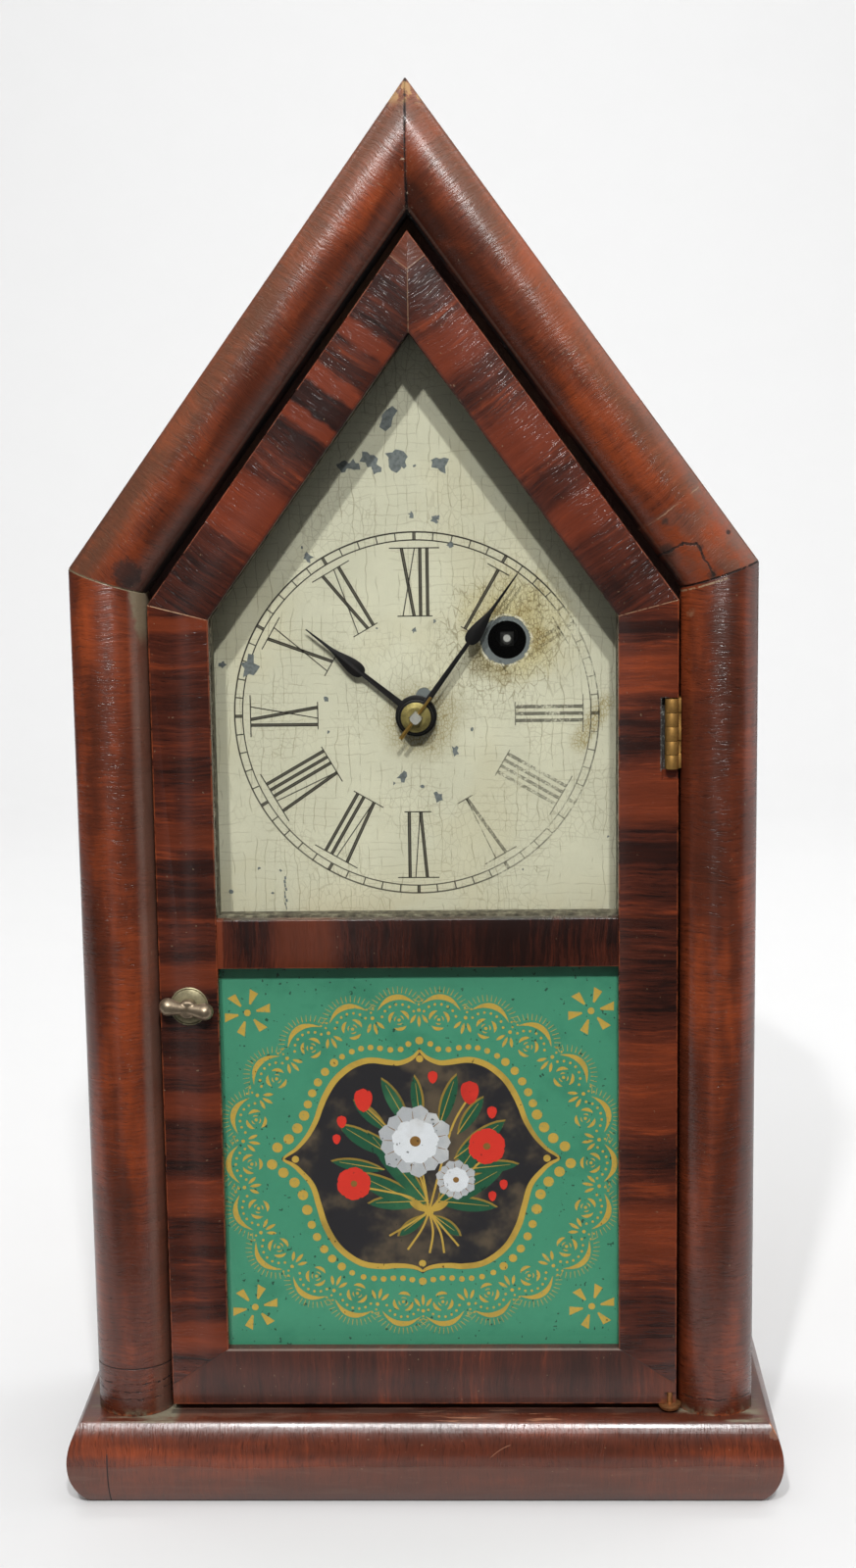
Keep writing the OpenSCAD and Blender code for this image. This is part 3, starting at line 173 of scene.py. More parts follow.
class ClockMetal(bpy.types.PropertyGroup):
    """Colours of the metal pieces."""

    brass: colour("Movement brass", "Colour of the movement's brass", 196, 158, 84)
    old_brass: colour("Old brass", "Colour of the small brass screws and nails", 150, 118, 62)
    blued: colour("Hands", "Colour of the blackened steel hands", 24, 23, 24)
    iron: colour("Iron", "Colour of the screws and the latch hook", 74, 66, 60)


class ClockStage(bpy.types.PropertyGroup):
    """The camera and the studio light."""

    lens: FloatProperty(
        name="Lens", description="Focal length in millimetres on a 36 mm frame", default=55.42
    )
    key: FloatProperty(name="Lamps", description="Power of each of the two lamps in watts", default=13.2)
    fill: FloatProperty(
        name="Soft light", description="Share of the soft lights round the clock", default=1.0
    )
    floor: colour("Floor", "Colour of the floor and backdrop", 215, 215, 215)


# Selection and small modelling steps

UPRIGHT = (math.pi / 2, 0, 0)


def pick(*pieces):
    """Leaves only these pieces selected, the first one active."""
    if bpy.context.object and bpy.context.object.mode != "OBJECT":
        bpy.ops.object.mode_set(mode="OBJECT")
    bpy.ops.object.select_all(action="DESELECT")
    for piece in pieces:
        piece.select_set(True)
    if pieces:
        bpy.context.view_layer.objects.active = pieces[0]


@contextmanager
def editing(piece, kind="FACE"):
    """Edits a piece's mesh with all of it selected."""
    pick(piece)
    bpy.ops.object.mode_set(mode="EDIT")
    bpy.ops.mesh.select_mode(type=kind)
    bpy.ops.mesh.select_all(action="SELECT")
    yield
    bpy.ops.object.mode_set(mode="OBJECT")


def select_edges(piece, test):
    """Selects only the edges that pass a test, in edit mode, and says whether there are any."""
    bpy.ops.mesh.select_all(action="DESELECT")
    mesh = bmesh.from_edit_mesh(piece.data)
    found = [edge for edge in mesh.edges if test(edge)]
    for edge in found:
        edge.select_set(True)
    bmesh.update_edit_mesh(piece.data)
    return bool(found)


def change(piece, kind, **settings):
    """Adds a modifier with these settings and applies it."""
    pick(piece)
    made = piece.modifiers.new(kind.title(), kind)
    for key, value in settings.items():
        setattr(made, key, value)
    bpy.ops.object.modifier_apply(modifier=made.name)


def settle(piece, name):
    """Names a new piece and moves its place into its mesh."""
    piece.name = name
    piece.data.name = name
    piece.data.transform(piece.matrix_world)
    piece.matrix_world = Matrix.Identity(4)
    return piece


def join(pieces, name):
    """Joins pieces into one and settles it."""
    pick(*pieces)
    if len(pieces) > 1:
        bpy.ops.object.join()
    return settle(bpy.context.object, name)


def copy_of(node, name):
    """A merged copy of a CAD node's mesh, with its flat faces whole again."""
    piece = bpy.data.objects.new(name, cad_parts[node].data.copy())
    bpy.context.scene.collection.objects.link(piece)
    piece.data.name = name
    piece.data.materials.clear()
    with editing(piece):
        bpy.ops.mesh.remove_doubles(threshold=0.002 * MM)
        bpy.ops.mesh.dissolve_limited(angle_limit=math.radians(0.4))
    if piece.data.has_custom_normals:
        bpy.ops.mesh.customdata_custom_splitnormals_clear()
    return piece


def ease(piece, width, where=None, segments=2):
    """Rounds the sharp edges of a piece, or those whose middle, in millimetres, passes a test."""
    def worn(edge):
        middle = (edge.verts[0].co + edge.verts[1].co) / 2 / MM
        sharp = edge.is_manifold and edge.calc_face_angle(0) > math.radians(25)
        return sharp and (where is None or where(middle))

    with editing(piece, "EDGE"):
        if select_edges(piece, worn):
            bpy.ops.mesh.bevel(
                offset=width, offset_type="OFFSET", segments=segments, profile=0.5,
                affect="EDGES", clamp_overlap=True,
            )


def smooth(piece, degrees=32.0):
    """Shades a piece smooth across gentle edges."""
    pick(piece)
    bpy.ops.object.shade_smooth_by_angle(angle=math.radians(degrees))


def slice_corner(piece, place, normal, material):
    """Cuts a chip off a piece past a plane, with place in millimetres, and shows bare wood there."""
    piece.data.materials.append(material)
    with editing(piece):
        bpy.ops.mesh.bisect(
            plane_co=Vector(place) * MM, plane_no=normal, use_fill=True, clear_outer=True,
            threshold=0.002 * MM,
        )
    way = Vector(normal).normalized()
    reach = Vector(place).dot(way) * MM
    for face in piece.data.polygons:
        if face.normal.dot(way) > 0.999 and abs(face.center.dot(way) - reach) < 0.02 * MM:
            face.material_index = len(piece.data.materials) - 1


def hold(piece, body, material=None, nodes=()):
    """Gives a piece its finish and its body, and hides the CAD nodes that it stands for."""
    if material is not None:
        piece.data.materials.clear()
        piece.data.materials.append(material)
    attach(piece, body)
    if nodes:
        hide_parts(*nodes)
    return piece


def dress(node, name, body, material, width, where=None, degrees=32.0):
    """Puts a finished copy with rounded arrises, their width in millimetres, in place of a CAD node."""
    piece = copy_of(node, name)
    ease(piece, width * MM, where)
    smooth(piece, degrees)
    hold(piece, body, material, [node])


def finish_nodes(nodes, material):
    """Gives CAD nodes that keep their shape a better finish."""
    for node in nodes.split():
        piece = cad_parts[node]
        piece.data.materials.clear()
        piece.data.materials.append(material)


def thicken(piece, depth):
    """Turns a flat piece into a thin closed one that grows towards the front."""
    with editing(piece):
        bpy.ops.mesh.remove_doubles(threshold=0.001 * MM)
        bpy.ops.mesh.normals_make_consistent(inside=False)
        for face in bmesh.from_edit_mesh(piece.data).faces:
            if face.normal.y > 0:
                face.normal_flip()
        bmesh.update_edit_mesh(piece.data)
    change(piece, "SOLIDIFY", thickness=depth, offset=1)
    return piece


def paint(shapes, name, depth, material):
    """Joins flat shapes into one thin layer of the pane's painting, its depth in millimetres."""
    hold(thicken(join(shapes, name), depth * MM), "door", material)


# Flat shapes in front view: x to the right and z up, in millimetres


def round_about(x, z, reach, degrees):
    """The place at a reach from x, z, with the angle clockwise from upright."""
    angle = math.radians(degrees)
    return x + reach * math.sin(angle), z + reach * math.cos(angle)


def flat_shape(points, y):
    """A flat piece with this outline, made from a circle whose points are moved to it."""
    pick()
    bpy.ops.mesh.primitive_circle_add(vertices=len(points), radius=MM, fill_type="NGON", rotation=UPRIGHT)
    piece = settle(bpy.context.object, "shape")
    for point, (x, z) in zip(piece.data.vertices, points):
        point.co = Vector((x, y, z)) * MM
    return piece


def stroke(start, end, width, y, taper=1.0):
    """A flat bar from start to end, with its map's U running across it."""
    (x0, z0), (x1, z1) = start, end
    side = Vector((z1 - z0, x0 - x1)).normalized() * width / 2
    pick()
    bpy.ops.mesh.primitive_plane_add(size=MM, rotation=UPRIGHT)
    piece = settle(bpy.context.object, "stroke")
    corners = sorted(piece.data.vertices, key=lambda v: (round(v.co.z / MM, 2), v.co.x))
    places = (
        (x0 - side.x, z0 - side.y), (x0 + side.x, z0 + side.y),
        (x1 - side.x * taper, z1 - side.y * taper), (x1 + side.x * taper, z1 + side.y * taper),
    )
    for corner, (x, z) in zip(corners, places):
        corner.co = Vector((x, y, z)) * MM
    return piece


def strip(steps, y, place):
    """A flat strip. place(share, across) gives each point, with across from -0.5 to 0.5."""
    pick()
    bpy.ops.mesh.primitive_grid_add(x_subdivisions=steps, y_subdivisions=1, size=MM, rotation=UPRIGHT)
    piece = settle(bpy.context.object, "strip")
    for point in piece.data.vertices:
        x, z = place(point.co.x / MM + 0.5, point.co.z / MM)
        point.co = Vector((x, y, z)) * MM
    return piece


def ring(x, z, radius, width, y, steps):
    """A flat ring about a centre."""
    return strip(steps, y, lambda share, across: round_about(x, z, radius + width * across, 360 * share))


def ribbon(points, widths, y):
    """A flat strip along a line, with its own width at each point."""
    last = len(points) - 1

    def place(share, across):
        i = round(share * last)
        way = (Vector(points[min(i + 1, last)]) - Vector(points[max(i - 1, 0)])).normalized()
        return Vector(points[i]) + Vector((-way.y, way.x)) * across * widths[i]

    return strip(last, y, place)


def smooth_line(points, steps):
    """A smooth line through points."""
    last = len(points) - 1
    line = []
    for i in range(last):
        p = [Vector(points[min(max(i + k, 0), last)]) for k in (-1, 0, 1, 2)]
        for step in range(steps):
            t = step / steps
            line.append(tuple(
                0.5 * (2 * p[1] + (p[2] - p[0]) * t + (2 * p[0] - 5 * p[1] + 4 * p[2] - p[3]) * t * t
                       + (3 * p[1] - p[0] - 3 * p[2] + p[3]) * t ** 3)
            ))
    return line + [tuple(points[-1])]


def petal(x, z, reach, width, turn, y, blunt=0.0, steps=9):
    """A flat leaf shape from its foot at x, z, turned clockwise from upright."""
    sides = []
    for i in range(steps + 1):
        t = i / steps
        swell = math.sin(math.pi * t) ** (0.75 - 0.35 * blunt)
        sides.append((width / 2 * swell * (0.75 + 0.5 * t * (1 if blunt else 0.2)), t * reach))
    outline = sides[:-1] + [(-u, v) for u, v in reversed(sides[1:])]
    cos, sin = math.cos(math.radians(turn)), math.sin(math.radians(turn))
    return flat_shape([(x + u * cos + v * sin, z - u * sin + v * cos) for u, v in outline], y)


def dot(x, z, radius, y, corners=12):
    """A flat round dot."""
    return flat_shape([round_about(x, z, radius, 90 - 360 * i / corners) for i in range(corners)], y)


def placed_copy(piece, x, z, turn):
    """A copy with its own mesh, turned clockwise in front view and moved, in millimetres."""
    copy = piece.copy()
    copy.data = piece.data.copy()
    bpy.context.scene.collection.objects.link(copy)
    copy.data.transform(
        Matrix.Translation((x * MM, 0, z * MM)) @ Matrix.Rotation(math.radians(turn), 4, "Y")
    )
    return copy


# Shader sums and nodes


class Value:
    """A socket of a material that can stand in sums with numbers and other values."""

    def __init__(self, shader, socket):
        self.shader = shader
        self.socket = socket

    def sum(self, operation, first, second):
        return self.shader.node("ShaderNodeMath", {"operation": operation}, {0: first, 1: second})

    def __add__(self, other):
        return self.sum("ADD", self, other)

    __radd__ = __add__

    def __sub__(self, other):
        return self.sum("SUBTRACT", self, other)

    def __rsub__(self, other):
        return self.sum("SUBTRACT", other, self)

    def __mul__(self, other):
        return self.sum("MULTIPLY", self, other)

    __rmul__ = __mul__

    def __truediv__(self, other):
        return self.sum("DIVIDE", self, other)

    def __pow__(self, other):
        return self.sum("POWER", self, other)

    def __abs__(self):
        return self.sum("ABSOLUTE", self, 0.0)


class Shader:
    """A material in the making, with its place on the clock in millimetres."""

    def __init__(self, name):
        self.material = bpy.data.materials.new(name)
        self.material.use_nodes = True
        self.tree = self.material.node_tree
        self.tree.nodes.clear()
        metres = self.node("ShaderNodeTexCoord", {}, {}, "Object")
        self.place = self.node("ShaderNodeVectorMath", {"operation": "SCALE"}, {0: metres, "Scale": 1 / MM})
        self.x, self.y, self.z = (
            self.node("ShaderNodeSeparateXYZ", {}, {0: self.place}, axis) for axis in "XYZ"
        )

    def node(self, kind, settings, inputs, output=0):
        """Adds a node, sets its settings, then its sockets, and gives one of its outputs."""
        made = self.tree.nodes.new(kind)
        for key, value in settings.items():
            if key == "stops":
                elements = made.color_ramp.elements
                while len(elements) < len(value):
                    elements.new(0.5)
                for element, (position, shade) in zip(elements, value):
                    element.position = position
                    element.color = (*shade, 1)
            else:
                setattr(made, key, value)
        for key, value in inputs.items():
            if isinstance(value, Value):
                self.tree.links.new(value.socket, made.inputs[key])
            elif hasattr(value, "__len__") and made.inputs[key].type == "RGBA":
                made.inputs[key].default_value = (*value[:3], 1)
            else:
                made.inputs[key].default_value = value
        return Value(self, made.outputs[output]) if made.outputs else None

    def join_axes(self, x, y, z):
        return self.node("ShaderNodeCombineXYZ", {}, {0: x, 1: y, 2: z})

    def stretched(self, at, scale, shift):
        """A place times a scale, in repeats per millimetre, and moved by a shift."""
        scale = scale if hasattr(scale, "__len__") else (scale,) * 3
        inputs = {0: self.place if at is None else at, 1: scale, 2: shift}
        return self.node("ShaderNodeVectorMath", {"operation": "MULTIPLY_ADD"}, inputs)

    def noise(self, scale, detail=2.0, rough=0.5, shift=0.0, at=None):
        """Soft noise from 0 to 1, with scale in repeats per millimetre along each axis."""
        moved = self.stretched(at, scale, (shift, shift * 1.7 + 3.1, shift * 2.3 + 7.7))
        inputs = {"Vector": moved, "Scale": 1.0, "Detail": detail, "Roughness": rough}
        return self.node("ShaderNodeTexNoise", {}, inputs, "Fac")

    def cracks(self, scale, shift, wide):
        """The cracks of a crazed surface, fading from the first to the second of two widths in cells."""
        inputs = {"Vector": self.stretched(None, scale, (shift,) * 3), "Scale": 1.0}
        cell = self.node("ShaderNodeTexVoronoi", {"feature": "DISTANCE_TO_EDGE"}, inputs, "Distance")
        return self.fall(cell, *wide)

    def soft(self, value, low, high):
        """Rises smoothly from 0 at low to 1 at high."""
        inputs = {"Value": value, "From Min": low, "From Max": high, "To Min": 0.0, "To Max": 1.0}
        return self.node("ShaderNodeMapRange", {"interpolation_type": "SMOOTHSTEP"}, inputs)

    def fall(self, value, low, high):
        """Falls smoothly from 1 at low to 0 at high."""
        inputs = {"Value": value, "From Min": low, "From Max": high, "To Min": 1.0, "To Max": 0.0}
        return self.node("ShaderNodeMapRange", {"interpolation_type": "SMOOTHSTEP"}, inputs)

    def patches(self, low, high, *noise):
        """Patches where a noise is high: none below low and full above high."""
        return self.soft(self.noise(*noise), low, high)

    def rag(self, reach, *noise):
        """A noise about 0, as wide as reach, that makes an edge ragged."""
        return (self.noise(*noise) - 0.5) * reach

    def near(self, value, middle, half_width, blur):
        """1 within half_width of middle, and 0 beyond the blur."""
        return self.fall(abs(value - middle), half_width, half_width + blur)

    def far(self, x0, z0):
        """Distance in front view from x0, z0."""
        across, up = self.x - x0, self.z - z0
        return (across * across + up * up) ** 0.5

    def blend(self, mask, base, top):
        """The base colour with the top colour over it where the mask is 1."""
        settings = {"data_type": "RGBA", "blend_type": "MIX", "clamp_factor": True}
        return self.node("ShaderNodeMix", settings, {0: mask, 6: base, 7: top}, 2)

    def shade(self, base, amount):
        """A colour made darker or lighter by an amount."""
        settings = {"data_type": "RGBA", "blend_type": "MULTIPLY", "clamp_factor": True}
        inputs = {0: 1.0, 6: base, 7: self.join_axes(amount, amount, amount)}
        return self.node("ShaderNodeMix", settings, inputs, 2)

    def ramp(self, value, stops):
        return self.node("ShaderNodeValToRGB", {"stops": stops}, {0: value}, "Color")

    def surface(self, base, roughness, height, relief=0.03, metallic=0.0, coat=0.0):
        """Ends the material with a surface and its fine relief in millimetres."""
        bump = self.node(
            "ShaderNodeBump", {}, {"Strength": 1.0, "Distance": relief * MM, "Height": height}, "Normal"
        )
        inputs = {"Base Color": base, "Roughness": roughness, "Metallic": metallic,
                  "Coat Weight": coat, "Coat Roughness": 0.12, "Normal": bump}
        return self.finish(self.node("ShaderNodeBsdfPrincipled", {}, inputs))

    def finish(self, shaded):
        """Ends the material with what shades it."""
        self.node("ShaderNodeOutputMaterial", {}, {"Surface": shaded})
        return self.material


# Wood


def roof_lines(x, z):
    """Where a place lies along the roof's slope, growing downwards, and how deep it lies below it."""
    cos, sin = math.cos(ROOF), math.sin(ROOF)
    return abs(x) * cos - z * sin, (PEAK - z) * cos - abs(x) * sin


def lie_of(s, lie):
    """Where a point lies along a member and across it, so that the veneer's grain runs across."""
    if lie == "slope":
        return roof_lines(s.x, s.z)
    return {"upright": (s.z, s.x), "level": (s.x, s.z), "end": (s.y, s.z)}[lie]


def veneer(name, lie, seed, tone=0.0, marks=None, figure=0.0, gloss=0.18, ripple=0.0, mottle=0.5):
    """Varnished veneer with the grain across the member.

    marks adds a member's own stains and seams and its painted highlights, reflections and shade, figure is
    the share of dark bands, ripple the height of the waves in the varnish and mottle the share of soft
    patches where there are no bands.
    """
    wood = bpy.context.scene.clock_wood
    s = Shader(name)
    along, across = lie_of(s, lie)
    flat = s.join_axes(along, across, s.y)
    drift = s.rag(2.5, (0.035, 0.07, 0.05), 1, 0.5, seed, flat)
    curl = s.rag(2.2 * (1 - figure), (0.07, 0.15, 0.15), 2, 0.5, seed * 1.3, flat)
    at = s.join_axes(along + drift + curl, across, s.y)
    patch = s.rag(1, (0.035, 0.03, 0.03), 2, 0.5, seed * 3.1, at)
    band = s.rag(1, (0.1, 0.012, 0.012), 2, 0.5, seed * 6.1, at)
    streak = s.rag(1, (0.24, 0.025, 0.025), 4, 0.65, seed * 5.3, at)
    line = s.rag(1, (1.2, 0.06, 0.06), 3, 0.6, seed * 7.9, at)
    cloud = s.rag(mottle, (0.022, 0.09, 0.05), 3, 0.55, seed * 8.3, at)
    fibre = s.noise((2.3, 0.2, 0.2), 3, 0.6, seed * 2.3, at)
    pore = s.patches(0.58, 0.7, (3.6, 0.32, 0.32), 1, 0.5, seed * 4.7, at)
    banded = patch * 0.25 + band * 0.45 + streak * 0.42 + line * 0.36
    calm = cloud + streak * 0.07 + line * 0.15
    grain = banded * figure + calm * (1 - figure) + (0.5 + tone)
    dark, middle, bright = wood.round_dark, wood.round_middle, wood.round_bright
    if figure > 0.5:
        dark, middle, bright = wood.dark, wood.middle, wood.bright
    between = tuple(0.5 * a + 0.5 * b for a, b in zip(dark, middle))
    base = s.ramp(grain, [(0.36, dark), (0.44, between), (0.515, middle), (0.63, bright)])
    depth = 0.4 + 0.36 * figure
    base = s.shade(base, (1 - depth / 2 + fibre * depth) * (1 - pore * 0.4))
    roughness = gloss + s.noise(0.05, 3, 0.6, seed) * 0.1 + fibre * 0.06
    wavy = s.noise(0.12, 2, 0.5, seed) * (2.2 - 1.4 * figure)
    height = fibre * 1.5 + line * 0.8 - pore * 0.5 + wavy
    if ripple:
        height = height + s.noise((1.1, 0.3, 0.3), 3, 0.65, seed * 1.9, at) * ripple
    for mask, shade, rougher, *lift in (marks(s, along, across) if marks else []):
        base = s.blend(mask, base, shade)
        roughness = roughness + mask * rougher
        if lift:
            height = height + mask * lift[0]
    base = s.blend(s.patches(0.77, 0.79, 1.1, 1, 0.5, seed + 11.0) * 0.35, base, wood.crumb)
    return s.surface(base, roughness, height, 0.04 - 0.022 * figure, coat=0.06)


def joint_line(s, x0, z0, x1, z1, half_width, broken=0.5, seed=1.0):
    """A broken line between two places that are given for the right side and hold for both."""
    x = abs(s.x)
    if x1 == x0:
        off = abs(x - x0)
        inside = s.soft(s.z, z0, z0 + 0.3)
    else:
        off = abs(s.z - z0 - (x - x0) * ((z1 - z0) / (x1 - x0)))
        inside = s.soft(x, x0 - 0.6, x0 - 0.3) * s.fall(x, x1 + 0.3, x1 + 0.6)
    breaks = s.patches(broken - 0.06, broken + 0.06, 0.9, 3, 0.7, seed)
    return s.fall(off, half_width * 0.5, half_width) * inside * breaks


def crack_line(s, x0, z0, x1, z1, half_width):
    """A ragged crack between two places in front view."""
    run = math.hypot(x1 - x0, z1 - z0)
    across, up = (x1 - x0) / run, (z1 - z0) / run
    down = (s.x - x0) * across + (s.z - z0) * up
    off = (s.x - x0) * up - (s.z - z0) * across + s.rag(2.2, 0.35, 4, 0.7, x0)
    return s.near(off, 0.0, half_width, half_width) * s.near(down, run / 2, run / 2, 0.4)


def board(name, shade, seed, rings, dust_and_highlight, gloss):
    """Plain softwood with upright grain."""
    s = Shader(name)
    bend = s.rag(22.0, (0.012, 0.005, 0.02), 1, 0.5, seed, s.join_axes(s.x, s.z, s.y))
    at = s.join_axes(s.x + bend, s.z, s.y)
    late = s.patches(0.38, 0.66, (rings * 2.2, 0.006, 0.05), 2, 0.5, seed * 3.0, at)
    fibre = s.noise((2.6, 0.05, 2.6), 3, 0.6, seed * 5.0, at)
    dust = s.patches(0.45, 0.7, 0.03, 4, 0.6, seed * 2.0)
    scuffs = s.patches(0.62, 0.72, (0.5, 0.03, 0.5), 3, 0.6, seed * 9.0, at)
    base = s.shade(s.blend(late * 0.65, shade, dim(shade, 0.55)), 0.72 + fibre * 0.56)
    base = s.blend(dust * dust_and_highlight, base, tint(134, 108, 80))
    base = s.blend(scuffs * 0.3, base, dim(shade, 1.6))
    return s.surface(base, gloss + dust * 0.25, fibre + late * 0.8, 0.09)


class CLOCK_OT_case(bpy.types.Operator):
    """Finish the case boards that stand behind the mouldings"""

    bl_idname = "clock.case"
    bl_label = "Case boards"

    def execute(self, context):
        wood = context.scene.clock_wood
        stained = veneer("stained_sides", "end", 2.0, -0.03, None, 0.15, 0.4, 0.0, 0.2)
        roofing = veneer("stained_roof", "end", 5.0, -0.02, None, 0.15, 0.44, 0.0, 0.2)
        raw = board("raw_back", wood.pine, 8.0, 0.11, 0.3, 0.8)
        inner = board("stained_frame", dim(wood.stained, 0.8), 3.0, 0.1, 0.3, 0.6)
        pine = board("inner_pine", wood.pine, 13.0, 0.12, 0.5, 0.8)
        for nodes, material, slot, width in (
            ("left_side right_side", stained, "stained_pine", 0.5),
            ("left_roof_board right_roof_board", roofing, "stained_pine", 0.5),
            ("back_board", raw, "raw_pine", 0.4), ("face_frame", inner, "stained_pine", 0.3),
            ("dial_supports movement_battens", pine, "raw_pine", 0.3),
        ):
            for node in nodes.split():
                dress(node, node + "_eased", "case", material, width)
        return {"FINISHED"}


# The base's front right corner, where a chip is broken off
CHIP = (94.6, -45.6, 22.4)
CHIP_FACES = (0.55, -0.5, 0.67)


class CLOCK_OT_base(bpy.types.Operator):
    """Finish the base with its seams and chipped corner, and a painted arris highlight, floor reflection and
    shade
    """

    bl_idname = "clock.base"
    bl_label = "Base"

    def execute(self, context):
        wood = context.scene.clock_wood
        shadow = tint(30, 18, 14)

        # A lighter line along the top arris, broken in patches: a painted highlight, strong on the front and
        # faint on the ends
        def arris(s, value, place, width):
            high = s.soft(s.z, BASE_TOP - 2.2, BASE_TOP - 1.2)
            rubbed = s.patches(0.5, 0.6, (0.12, 0.5, 0.5), 4, 0.75, 9.0)
            return s.fall(abs(value - place), width * 0.4, width) * high * rubbed

        def top_marks(s, along, across):
            flat = s.soft(s.z, BASE_TOP - 0.5, BASE_TOP - 0.2)
            dust = s.patches(0.44, 0.62, (0.03, 0.12, 0.12), 4, 0.65, 6.0)
            middle = s.fall(abs(s.x - 18.0), 8.0, 48.0)
            scrape = s.patches(0.58, 0.66, (0.07, 0.6, 0.6), 4, 0.6, 2.0)
            feet = s.fall(abs(abs(s.x) - 80.3) - 11.0, 0.0, 2.5) * s.fall(s.y, -28.0, -20.0)
            gap = s.near(s.y, DOOR_FRONT + 0.6, 1.0, 0.8) * s.fall(abs(s.x), DOOR_HALF, DOOR_HALF + 1.0)
            return [
                (flat * 0.3, tint(86, 46, 34), 0.3), (dust * flat * 0.4, tint(122, 92, 76), 0.3),
                (scrape * middle * flat * 0.5, tint(186, 132, 100), 0.3),
                (feet * dust * flat * 0.6, tint(132, 134, 112), 0.5), (gap * flat * 0.6, shadow, 0.4),
            ]

        def front_marks(s, along, across):
            # Below about 12 mm the front is painted paler and greyer as a painted reflection of the floor
            low = s.fall(s.z + s.rag(2.0, 0.05), 11.6, 12.8)
            scuffs = s.patches(0.5, 0.68, (0.05, 0.4, 0.4), 4, 0.7, 4.0)
            seam = s.near(s.x, -86.8, 0.12, 0.12) * s.fall(s.z, 15.5, 16.5)
            off = s.x - 21.0
            bow = s.z - 17.2 - off * 0.6 + off * off * 0.06
            scratch = s.near(bow, 0.0, 0.07, 0.12) * s.near(off, 0.0, 2.2, 0.8)
            corner = s.fall(s.far(95.8, 21.0) + s.rag(4.0, 0.4, 3), 0.9, 1.5) * s.fall(s.y, -38.0, -36.0)
            return top_marks(s, along, across) + [
                # painted reflection of the floor on the lower front, with lighter patches in it
                (low * 0.5, tint(92, 62, 52), 0.25), (scuffs * low * 0.25, tint(112, 84, 72), 0.2),
                # painted highlight along the front's top arris
                (arris(s, s.y, BASE_FRONT + 0.9, 0.7) * 0.7, tint(196, 160, 138), 0.2),
                (seam, tint(25, 12, 10), 0.3), (scratch * 0.55, tint(150, 100, 74), 0.2),
                (s.fall(s.z, 0.2, 1.2) * 0.8, shadow, 0.3), (corner * 0.8, tint(112, 70, 46), 0.5),
            ]

        def end_marks(s, along, across):
            return top_marks(s, along, across) + [
                # faint painted highlight along the ends' top arris
                (arris(s, abs(s.x), BASE_HALF - 1.0, 0.9) * 0.4, tint(150, 100, 74), 0.2),
                (s.fall(s.z, 0.2, 1.2) * 0.8, shadow, 0.3),
            ]

        s = Shader("base_broken")
        fibre = s.noise((0.7, 0.7, 3.0), 4, 0.65)
        broken = s.surface(
            s.blend(s.soft(fibre, 0.4, 0.62), wood.chipped, dim(wood.chipped, 0.5)), 0.75, fibre, 0.25)
        for node, name, where, material in (
            ("base_front_moulding", "base_front", lambda m: m.y < BASE_FRONT + 6,
             veneer("base_veneer", "level", 21.0, 0.01, front_marks, ripple=0.5, mottle=0.4)),
            ("base_end_mouldings", "base_ends", lambda m: abs(m.x) > BASE_HALF - 6,
             veneer("base_end_veneer", "end", 26.0, -0.02, end_marks, gloss=0.26, ripple=0.5, mottle=0.4)),
        ):
            piece = copy_of(node, name)
            ease(piece, 0.6 * MM, lambda m, outer=where: m.z > BASE_TOP - 0.1 and outer(m))
            piece.data.materials.append(material)
            slice_corner(piece, CHIP, CHIP_FACES, broken)
            smooth(piece)
            hold(piece, "case", nodes=[node])
        top = veneer("base_top_veneer", "level", 23.0, -0.02, top_marks, gloss=0.4, ripple=0.5, mottle=0.4)
        dress("base_plinth", "base_block", "case", top, 0.3)
        return {"FINISHED"}


# The right roof moulding's crack, corner by corner, and its dints with their sizes
CRACK = ((64.2, 259.0), (70.0, 262.7), (73.6, 262.7), (75.0, 260.1), (78.2, 254.3))
DINTS = ((65.7, 268.5, 1.0), (66.5, 260.6, 2.2), (78.0, 254.6, 1.4), (74.6, 261.6, 0.8))
# The roof moulding's lower piece starts here along the slope
LOWER_PIECE = -180.6


